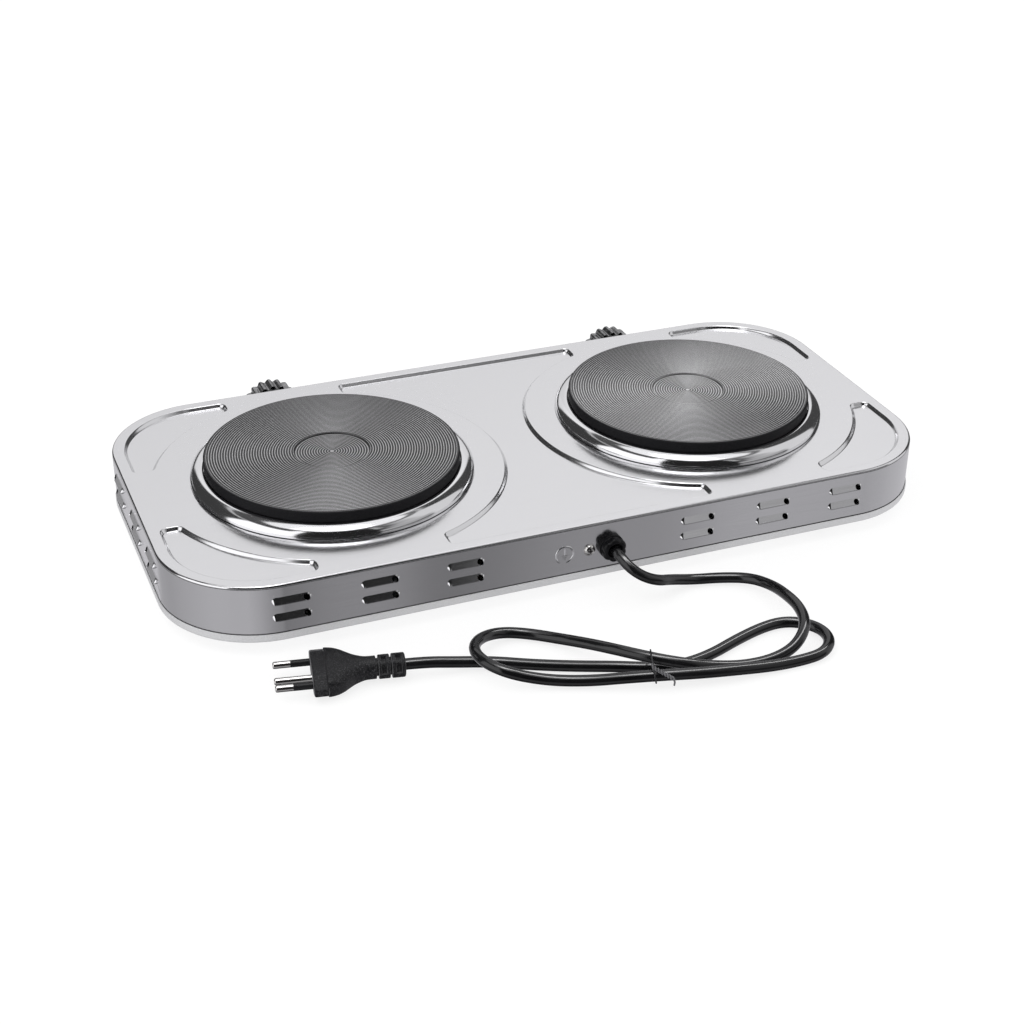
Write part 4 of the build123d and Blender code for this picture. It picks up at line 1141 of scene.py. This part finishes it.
def earth_screw():
    g = Geo()
    x, z = EARTH_X, EARTH_Z
    # spring washer's face and the domed head with its cross recess
    ws = rounded([(1.6, RO), (3.5, RO), (3.5, RO + 0.5), (2.4, RO + 0.5)], [0, 0.1, 0.15, 0], 3)
    lathe(g, ws, 64, x, z, axis="Y", outward=-1)
    N, K = 96, 26

    def h(px, pz):
        r = math.hypot(px, pz)
        base = 1.65 * math.sqrt(max(0.0, 1 - (r / 3.1) ** 2.6)) + 0.05
        wdt = 0.42
        arm = max(min(abs(px), 9), 0)
        d1 = max(abs(px) - wdt, abs(pz) - 1.75)
        d2 = max(abs(pz) - wdt, abs(px) - 1.75)
        d = min(d1, d2)
        cut = smooth(min(1.0, max(0.0, -d / 0.22 + 0.5)))
        depth = 0.95 * max(0.0, 1 - r / 2.6)
        return base - cut * depth

    rings = []
    for j in range(K + 1):
        r = 3.1 * (j / K)
        ring = []
        for i in range(N):
            a = 2 * math.pi * i / N
            px, pz = r * math.cos(a), r * math.sin(a)
            e = 0.02
            gx = (h(px + e, pz) - h(px - e, pz)) / (2 * e)
            gz = (h(px, pz + e) - h(px, pz - e)) / (2 * e)
            hh = h(px, pz) if j < K else 0.05
            ring.append(((x + px, RO + 0.5 + hh - 0.05, z + pz), (-gx, 1.0, -gz)))
        rings.append(ring)
    g.loft(rings)
    # painted shade: the faces in the cross recess are painted near black
    for i, q in enumerate(g.f):
        c = np.mean([g.v[j] for j in q], axis=0) - np.array((x, 0, z))
        if min(max(abs(c[0]) - 0.40, abs(c[2]) - 1.70), max(abs(c[2]) - 0.40, abs(c[0]) - 1.70)) < 0 and c[1] > RO + 0.3:
            g.m[i] = 1
    g.piece("earth_screw_head", [NICKEL, IRON_EDGE], slot="zinc_steel", stands_for=("earth_screw", "earth_washer"))


earth_screw()


def earth_mark():
    """Shallow pressed ring with the plain earth sign's short upright inside it."""
    g = Geo()
    x, z = 15.2, 25.3

    def ridge(path, w, h):
        rings = []
        prof = []
        K = 8
        for k in range(K + 1):
            t = -1 + 2 * k / K
            hh = h * (1 - t * t) ** 1.0
            prof.append((t * w, hh, -2 * t * h / w))
        L = len(path)
        for i, p in enumerate(path):
            a, b = np.array(path[max(0, i - 1)]), np.array(path[min(L - 1, i + 1)])
            d = (b - a) / np.linalg.norm(b - a)
            q = np.array([-d[1], d[0]])
            k = 1.0
            if i in (0, L - 1):
                k = 0.05
            elif i in (1, L - 2):
                k = 0.7
            rings.append([((x + p[0] + q[0] * o * k, RO + 0.02 + hh * k, z + p[1] + q[1] * o * k),
                           (-q[0] * sl, 1.0, -q[1] * sl)) for o, hh, sl in prof])
        g.loft(rings, closed=False)

    def arcp(r, a0, a1, n=40):
        return [(r * math.cos(math.radians(a0 + (a1 - a0) * k / n)), r * math.sin(math.radians(a0 + (a1 - a0) * k / n)))
                for k in range(n + 1)]

    ridge(arcp(5.1, -60, 262, 72), 0.55, 0.34)
    ridge([(0.0, 4.2 - 0.45 * k) for k in range(11)], 0.50, 0.30)
    ridge([(-2.2 + 0.44 * k, -0.4) for k in range(11)], 0.40, 0.12)
    ridge([(-1.4 + 0.4 * k, -1.6) for k in range(8)], 0.40, 0.12)
    ridge([(-0.7 + 0.35 * k, -2.8) for k in range(5)], 0.40, 0.12)
    g.piece("earth_sign", SIDE, slot="brushed_stainless")


earth_mark()


# ---------------------------------------------------------------------------
# plug
# ---------------------------------------------------------------------------
def turn(axis, deg):
    a = math.radians(deg)
    c, s = math.cos(a), math.sin(a)
    if axis == "X":
        return np.array([[1, 0, 0], [0, c, -s], [0, s, c]])
    return np.array([[c, -s, 0], [s, c, 0], [0, 0, 1]])


PLUG_M = np.eye(4)
PLUG_M[:3, :3] = turn("Z", PLUG_YAW) @ turn("X", PLUG_ROLL + 6.0)
PLUG_M[:3, 3] = PLUG_END
PF = 47.5


def plug():
    g = Geo()
    N = 128
    # relief: two slotted rings on a thinner core
    prof = rounded([(3.05, 0.0), (6.35, 0.0), (6.35, 6.9), (4.6, 6.9), (4.6, 7.9), (6.25, 7.9), (6.25, 13.7), (4.6, 13.7),
                    (4.6, 14.9), (6.0, 14.9), (6.0, 16.0)],
                   [0, 0.9, 0.5, 0.15, 0.15, 0.5, 0.5, 0.15, 0.15, 0.4, 0], 5)
    groups, cur = [], [prof[0]]
    for (p, d) in prof[1:]:
        if np.linalg.norm(p - cur[-1][0]) < 1e-9:
            groups.append(cur)
            cur = [(p, d)]
            continue
        q, e = cur[-1]
        for k in range(1, int((p[1] - q[1]) / 0.22) + 1):       # the windows need places along the rings
            z = q[1] + 0.22 * k
            if z < p[1] - 0.05 and abs(p[0] - q[0]) < 1e-6:
                cur.append((np.array([p[0], z]), d))
        cur.append((p, d))
    groups.append(cur)

    def window(x, a):
        best = 0.0
        for x0, x1 in ((2.0, 4.9), (9.6, 12.3)):
            for mid in (44.0, 224.0):
                da = abs((math.degrees(a) - mid + 180) % 360 - 180)
                m = min(x - x0, x1 - x, (54.0 - da) * 0.11)
                best = max(best, smooth(min(1.0, max(0.0, m / 0.22 + 0.5))))
        return best

    NW = 288
    for cur in groups:
        rings = []
        for (p, d) in cur:
            ring = []
            for i in range(NW):
                a = 2 * math.pi * i / NW
                w = window(p[1], a)
                dx = (window(p[1] + 0.05, a) - window(p[1] - 0.05, a)) / 0.1 * 2.0
                dw = (window(p[1], a + 0.01) - window(p[1], a - 0.01)) / 0.02 * 2.0 / 6.3
                r = p[0] - 2.0 * w if p[0] > 5.5 else p[0]
                c, s_ = math.cos(a), math.sin(a)
                nr, nx = d[1], -d[0]
                if p[0] > 5.5:
                    nx += dx
                    n = np.array((nx, nr * c - dw * s_, nr * s_ + dw * c))
                else:
                    n = np.array((nx, nr * c, nr * s_))
                ring.append(((p[1], r * c, r * s_), n))
            rings.append(ring)
        if len(rings) > 1:
            g.loft(rings)
    # neck and body, from a round neck to a wide flat head
    xs = [16.0, 18.0, 20.0, 21.5, 23.0, 24.7, 26.5, 28.2, 30.0, 31.7, 33.5, 35.2, 37.0, 38.8, 40.2]
    ax = [6.0, 6.0, 6.05, 6.4, 6.95, 7.7, 8.7, 10.1, 11.6, 13.0, 14.1, 14.9, 15.4, 15.7, 15.75]
    ex = [2.0, 2.0, 2.05, 2.15, 2.35, 2.6, 2.9, 3.2, 3.5, 3.8, 4.0, 4.2, 4.3, 4.4, 4.4]

    def pt(x, a, n, th):
        c, s = math.cos(th), math.sin(th)
        b = 6.0 - 0.25 * math.exp(-((x - 31) / 5.5) ** 2)
        return np.array([x, a * math.copysign(abs(c) ** (2 / n), c), b * math.copysign(abs(s) ** (2 / n), s)])

    def A(x):
        return np.interp(x, xs, ax)

    def E(x):
        return np.interp(x, xs, ex)

    fine = np.linspace(16.0, 40.2, 40)
    rings = []
    for x in fine:
        ring = []
        for i in range(N):
            th = 2 * math.pi * (i + 0.5) / N
            p = pt(x, A(x), E(x), th)
            du = pt(x + 0.3, A(min(x + 0.3, 40.2)), E(x + 0.3), th) - pt(x - 0.3, A(max(x - 0.3, 16)), E(x - 0.3), th)
            dv = pt(x, A(x), E(x), th + 0.01) - pt(x, A(x), E(x), th - 0.01)
            nn = np.cross(dv, du)
            if nn @ np.array([0, p[1], p[2]]) < 0:
                nn = -nn
            ring.append((p, nn))
        rings.append(ring)
    g.loft(rings)
    # end flange
    poly = [(-17.1, 1.9), (-10.0, 6.2), (10.0, 6.2), (17.1, 1.9), (17.1, -1.9), (10.0, -6.2), (-10.0, -6.2), (-17.1, -1.9)]
    out = rounded(poly[::-1], 1.5, 6, closed=True)
    rows = [(39.9, 3.0, -1), (39.9, 0.7, -1), (40.1, 0.25, -0.9), (40.6, 0.0, -0.3), (41.0, 0.0, 0), (46.6, 0.0, 0), (47.1, 0.15, 0.4),
            (47.4, 0.5, 0.9), (47.5, 1.0, 1)]
    rings = []
    for x, cut, s in rows:
        k = math.sqrt(max(0.0, 1 - s * s))
        ring = []
        for p, d in out:
            n = np.array([-d[1], d[0]])
            if n @ p < 0:
                n = -n
            q = p - n * cut
            ring.append(((x, q[0], q[1]), (s, n[0] * k, n[1] * k)))
        rings.append(ring)
    g.loft(rings)
    last = [q[0] for q in rings[-1]]
    loop = [(q[1], q[2]) for q in last]
    loop = [p for i, p in enumerate(loop) if math.dist(p, loop[i - 1]) > 1e-5]
    # the front face
    g.add([(47.5, p[0], p[1]) for p in loop], [(1, 0, 0)] * len(loop), fill([loop]))
    a_ = g.piece("plug_moulding", PLUG, slot="black_plastic", stands_for=("plug_body",), local=PLUG_M)

    # pins
    pins, sl = Geo(), Geo()
    for y, z, bare in ((9.5, 0.0, False), (-9.5, 0.0, False), (0.0, -3.0, True)):
        a = PF if bare else PF + 10.0
        pr = rounded([(1.86, a), (1.86, PF + 19.0), (0.0, PF + 19.0)], [0, 1.4, 0], 8)
        lathe(pins, pr, 48, y, z, axis="X", outward=1)
        if not bare:
            pr = rounded([(1.92, PF - 0.2), (1.90, PF + 9.9), (1.7, PF + 10.0)], [0, 0.1, 0], 3)
            lathe(sl, pr, 48, y, z, axis="X", outward=1)
    b_ = pins.piece("plug_prongs", NICKEL, slot="nickel", stands_for=("plug_pins", "plug_earth_pin"), local=PLUG_M)
    c_ = sl.piece("prong_sleeves", SLEEVE, slot="pin_sleeve", stands_for=("plug_pin_sleeves",), local=PLUG_M)
    return a_, b_, c_


PLUG_OBS = plug()


# ---------------------------------------------------------------------------
# wire tie: one loop round the gathered cord and its twisted ends
# ---------------------------------------------------------------------------
def tie():
    loop = [(1.5, 197.8, 0.44), (2.5, 200.2, 0.7), (3.5, 202.7, 1.4), (4.6, 205.1, 2.1), (5.6, 207.6, 2.8), (6.6, 210.2, 3.4),
            (7.6, 211.9, 5.4), (8.1, 211.8, 8.1), (7.9, 210.0, 10.2), (7.3, 207.6, 11.3), (6.6, 205.2, 12.5), (6.0, 202.7, 13.7),
            (5.4, 200.3, 15.1), (4.5, 197.6, 15.5), (3.4, 195.5, 13.8), (2.6, 194.9, 10.9), (2.0, 194.4, 8.4), (1.2, 193.8, 5.8),
            (0.7, 193.6, 3.1), (0.7, 195.2, 0.7)]
    obs = [wire("tie_loop", loop, 0.85, TIE, cyclic=True, res=6)]
    # the two ends, twisted round one another along a slightly bowed line over the cord
    q0, q1, q2 = np.array((7.3, 207.8, 11.7)), np.array((4.65, 213.9, 11.6)), np.array((-0.2, 215.2, 7.9))
    n, turns = 60, 3.4
    for ph in (0, math.pi):
        pts = []
        for i in range(n + 1):
            t = i / n
            c = (1 - t) ** 2 * q0 + 2 * t * (1 - t) * q1 + t * t * q2
            ax = (1 - t) * (q1 - q0) + t * (q2 - q1)
            ax /= np.linalg.norm(ax)
            e1 = np.cross(ax, (0.0, 0.0, 1.0))
            e1 /= np.linalg.norm(e1)
            e2 = np.cross(ax, e1)
            th = ph + 2 * math.pi * turns * t
            pts.append(tuple(c + 0.62 * (math.cos(th) * e1 + math.sin(th) * e2)))
        if ph == 0:
            pts = [(7.3, 205.6, 12.7), (7.4, 206.6, 12.3)] + pts + [(-0.9, 215.8, 6.6), (-1.0, 215.6, 5.2), (-1.0, 215.3, 3.7)]
        else:
            pts = [(7.6, 209.4, 11.2)] + pts + [(-0.6, 216.1, 7.2)]
        # the twisted ends take the lighter tie plastic, a painted highlight
        obs.append(wire("tie_twist_a" if ph == 0 else "tie_twist_b", pts, 0.95, TIE_TWIST_HIGHLIGHT, res=3))
    return obs


TIE_OBS = tie()
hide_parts("cord_tie")
for _ob in (cord, *PLUG_OBS):            # the photograph shows no mirror image of these in the skirt
    _ob.visible_glossy = False


# ---------------------------------------------------------------------------
# floor and light
# ---------------------------------------------------------------------------
me = bpy.data.meshes.new("floor")
S = 6.0
me.from_pydata([(-S, -S, 0), (S, -S, 0), (S, S, 0), (-S, S, 0)], [], [(0, 1, 2, 3)])
floor = bpy.data.objects.new("floor", me)
scene.collection.objects.link(floor)
FLOOR = Mat("floor", (0.24, 0.24, 0.24), 0.0, 0.9, Emission_Color=(1.0, 1.0, 1.0, 1.0), Emission_Strength=0.78)
me.materials.append(FLOOR.m)
floor.visible_glossy = False

world = bpy.data.worlds.new("studio")
scene.world = world
world.use_nodes = True
wt = world.node_tree
wt.nodes.clear()


def wn(kind, **props):
    n = wt.nodes.new(kind)
    for k, v in props.items():
        setattr(n, k, v)
    return n


def wmath(op, *vals):
    n = wn("ShaderNodeMath", operation=op)
    for i, v in enumerate(vals):
        if hasattr(v, "is_linked"):
            wt.links.new(v, n.inputs[i])
        else:
            n.inputs[i].default_value = v
    return n.outputs[0]


def wstep(sock, a, b, lo=0.0, hi=1.0):
    n = wn("ShaderNodeMapRange", interpolation_type="SMOOTHSTEP")
    n.inputs["From Min"].default_value = a
    n.inputs["From Max"].default_value = b
    n.inputs["To Min"].default_value = lo
    n.inputs["To Max"].default_value = hi
    wt.links.new(sock, n.inputs["Value"])
    return n.outputs["Result"]


def wcurve(sock, pts, lo, hi):
    """A smooth curve through (value, level) points as a colour ramp over lo..hi."""
    m = wn("ShaderNodeMapRange")
    m.inputs["From Min"].default_value = lo
    m.inputs["From Max"].default_value = hi
    wt.links.new(sock, m.inputs["Value"])
    r = wn("ShaderNodeValToRGB")
    e = r.color_ramp.elements
    while len(e) < len(pts):
        e.new(0.5)
    for el, (p, c) in zip(e, pts):
        el.position = (p - lo) / (hi - lo)
        el.color = (c, c, c, 1)
    wt.links.new(m.outputs["Result"], r.inputs["Fac"])
    return r.outputs["Color"]


tc = wn("ShaderNodeTexCoord")
sp = wn("ShaderNodeSeparateXYZ")
wt.links.new(tc.outputs["Generated"], sp.inputs[0])
az = wmath("MULTIPLY", wmath("ARCTAN2", sp.outputs["X"], sp.outputs["Y"]), 180 / math.pi)   # 0 at +Y, 90 at +X
el = wmath("MULTIPLY", wmath("ARCSINE", sp.outputs["Z"]), 180 / math.pi)

def wzone(a0, a1, sa, e0, e1, se):
    """1 inside azimuths a0..a1 and elevations e0..e1, falling to 0 within sa and se outside them."""
    return wmath("MULTIPLY", wmath("MULTIPLY", wstep(az, a0 - sa, a0), wstep(az, a1 + sa, a1)),
                 wmath("MULTIPLY", wstep(el, e0 - se, e0), wstep(el, e1 + se, e1)))


def wput(under, mask, value):
    m = wn("ShaderNodeMix", data_type="RGBA")
    wt.links.new(mask, m.inputs[0])
    wt.links.new(under, m.inputs[6])
    if hasattr(value, "is_linked"):
        wt.links.new(value, m.inputs[7])
    else:
        m.inputs[7].default_value = (value, value, value, 1)
    return m.outputs[2]


# below the horizon: what the skirt reflects, by azimuth
low = wcurve(az, [(-180, 0.66), (-140, 0.58), (-70, 0.46), (-38, 0.40), (-8, 0.27), (0, 0.30), (14, 0.40), (28, 0.47), (69, 0.46),
                  (110, 0.40), (131, 0.37), (155, 0.40), (166, 0.56), (180, 0.62)], -180, 180)
fine = wcurve(az, [(-38, 0.40), (-34.5, 0.415), (-30.5, 0.435), (-29.0, 0.425), (-28.6, 0.28), (-26, 0.28), (-24.6, 0.30),
                   (-23.3, 0.28), (-22.0, 0.22), (-21.0, 0.20), (-19.4, 0.17), (-18.55, 0.12), (-18.25, 0.30), (-17.0, 0.31),
                   (-16.3, 0.27), (-15.3, 0.30), (-14.6, 0.25), (-13.6, 0.19), (-12.5, 0.19), (-11, 0.24), (-8, 0.27)], -38, -8)
low = wput(low, wmath("MULTIPLY", wstep(az, -38.0, -37.9), wstep(az, -8.0, -8.1)), fine)
low = wput(low, wstep(el, -46.0, -62.0), 0.08)
# above it: a bright studio with the dark parts that the pressed edges and the trim rings pick up
sky = wcurve(el, [(-90, 0.74), (0, 0.74), (22, 0.80), (27, 0.87), (31, 0.92), (46, 0.96), (60, 0.98), (66, 1.0), (90, 1.0)], -90, 90)
sky = wput(sky, wstep(az, -140.0, -180.0, 0.0, 0.35), 0.62)
sky = wput(sky, wzone(-62.0, -10.0, 5.0, 19.0, 60.0, 3.0), 1.0)
edge = wcurve(az, [(-90, 0.7), (-60, 0.55), (-42, 0.40), (-33, 0.14), (-29, 0.10), (-26, 0.16), (-22, 0.50), (-10, 0.60)], -90, -10)
sky = wput(sky, wzone(-66.0, -10.0, 6.0, 36.0, 65.0, 2.5), edge)
sky = wput(sky, wzone(-62.0, -10.0, 6.0, 20.0, 36.0, 1.5), wcurve(az, [(-62, 0.6), (-36, 0.42), (-30, 0.30), (-25, 0.10), (-10, 0.08)], -62, -10))
sky = wput(sky, wzone(50.0, 105.0, 6.0, -14.0, 58.0, 3.0), 1.25)
sky = wput(sky, wzone(-98.0, -62.0, 6.0, -30.0, 56.0, 3.0), 0.72)
sky = wput(sky, wzone(-62.0, -10.0, 5.0, 4.0, 19.5, 3.5), 0.41)
sky = wput(sky, wzone(-62.0, -10.0, 5.0, -30.0, 5.0, 4.0), 0.06)
sky = wput(sky, wzone(-200.0, -112.0, 4.0, -30.0, 3.0, 5.0), 0.08)
sky = wput(sky, wzone(-134.0, -104.0, 4.0, -30.0, 54.0, 4.0), 0.06)
sky = wput(sky, wzone(-126.0, 60.0, 8.0, 58.0, 61.5, 1.5), 0.12)
sky = wput(sky, wzone(62.0, 200.0, 8.0, 49.0, 61.5, 2.5), 0.08)
sky = wput(sky, wzone(160.0, 200.0, 4.0, -17.0, 5.0, 4.0), 0.08)
sky = wput(sky, wzone(106.0, 165.0, 4.0, -2.0, 44.0, 4.0), 0.05)
sky = wput(sky, wzone(110.0, 138.0, 4.0, -30.0, 42.0, 4.0), 0.05)
sky = wput(sky, wzone(138.0, 170.0, 4.0, -30.0, -8.0, 3.0), 0.30)
sky = wput(sky, wzone(-18.7, 46.0, 0.8, -30.0, 57.0, 5.0), 0.018)
sky = wput(sky, wzone(-40.0, 80.0, 5.0, 68.0, 75.0, 2.0), 2.0)
sky = wput(sky, wstep(el, 77.0, 80.0), 4.0)


def wtint(sock, r, g, b):
    n = wn("ShaderNodeMix", data_type="RGBA", blend_type="MULTIPLY")
    n.inputs[0].default_value = 1.0
    n.inputs[7].default_value = (r, g, b, 1)
    wt.links.new(sock, n.inputs[6])
    return n.outputs[2]


world_colour = wput(wtint(low, 1.012, 1.0, 1.040), wstep(el, -19.0, -14.0), wtint(sky, 1.004, 1.0, 1.016))
lp = wn("ShaderNodeLightPath")
plain = wn("ShaderNodeMix", data_type="RGBA")
wt.links.new(lp.outputs["Is Glossy Ray"], plain.inputs[0])
plain.inputs[6].default_value = (1.0, 1.0, 1.0, 1)
wt.links.new(world_colour, plain.inputs[7])
bg = wn("ShaderNodeBackground")
wt.links.new(plain.outputs[2], bg.inputs["Color"])
bg.inputs["Strength"].default_value = 1.0
wo = wn("ShaderNodeOutputWorld")
wt.links.new(bg.outputs[0], wo.inputs["Surface"])


def area(name, loc, at, size, power, spread=180):
    li = bpy.data.lights.new(name, "AREA")
    li.shape = "RECTANGLE"
    li.size, li.size_y = size
    li.energy = power
    li.spread = math.radians(spread)
    ob = bpy.data.objects.new(name, li)
    scene.collection.objects.link(ob)
    ob.location = loc
    ob.rotation_euler = (Vector(at) - Vector(loc)).to_track_quat("-Z", "Y").to_euler()
    return ob


world.cycles.sampling_method = "NONE"

key = area("key", (0.9, 0.3, 1.6), (0, 0.1, 0), (1.2, 0.8), 5.0)
key.visible_glossy = False

# a strip over the cord, for the line of light along its jacket; it lights nothing else
strip = area("cord_strip", (-0.35, 0.07, 1.0), (0.0, 0.165, 0.0), (1.1, 0.22), 6.5)
_z = (strip.location - Vector((0.0, 0.165, 0.0))).normalized()
_x = Vector((0.92, 0.39, 0.0))
_x = (_x - _x.dot(_z) * _z).normalized()
strip.rotation_euler = Matrix((_x, _z.cross(_x), _z)).transposed().to_euler()
_only = bpy.data.collections.new("cord_light")
_only.objects.link(cord)
strip.light_linking.receiver_collection = _only
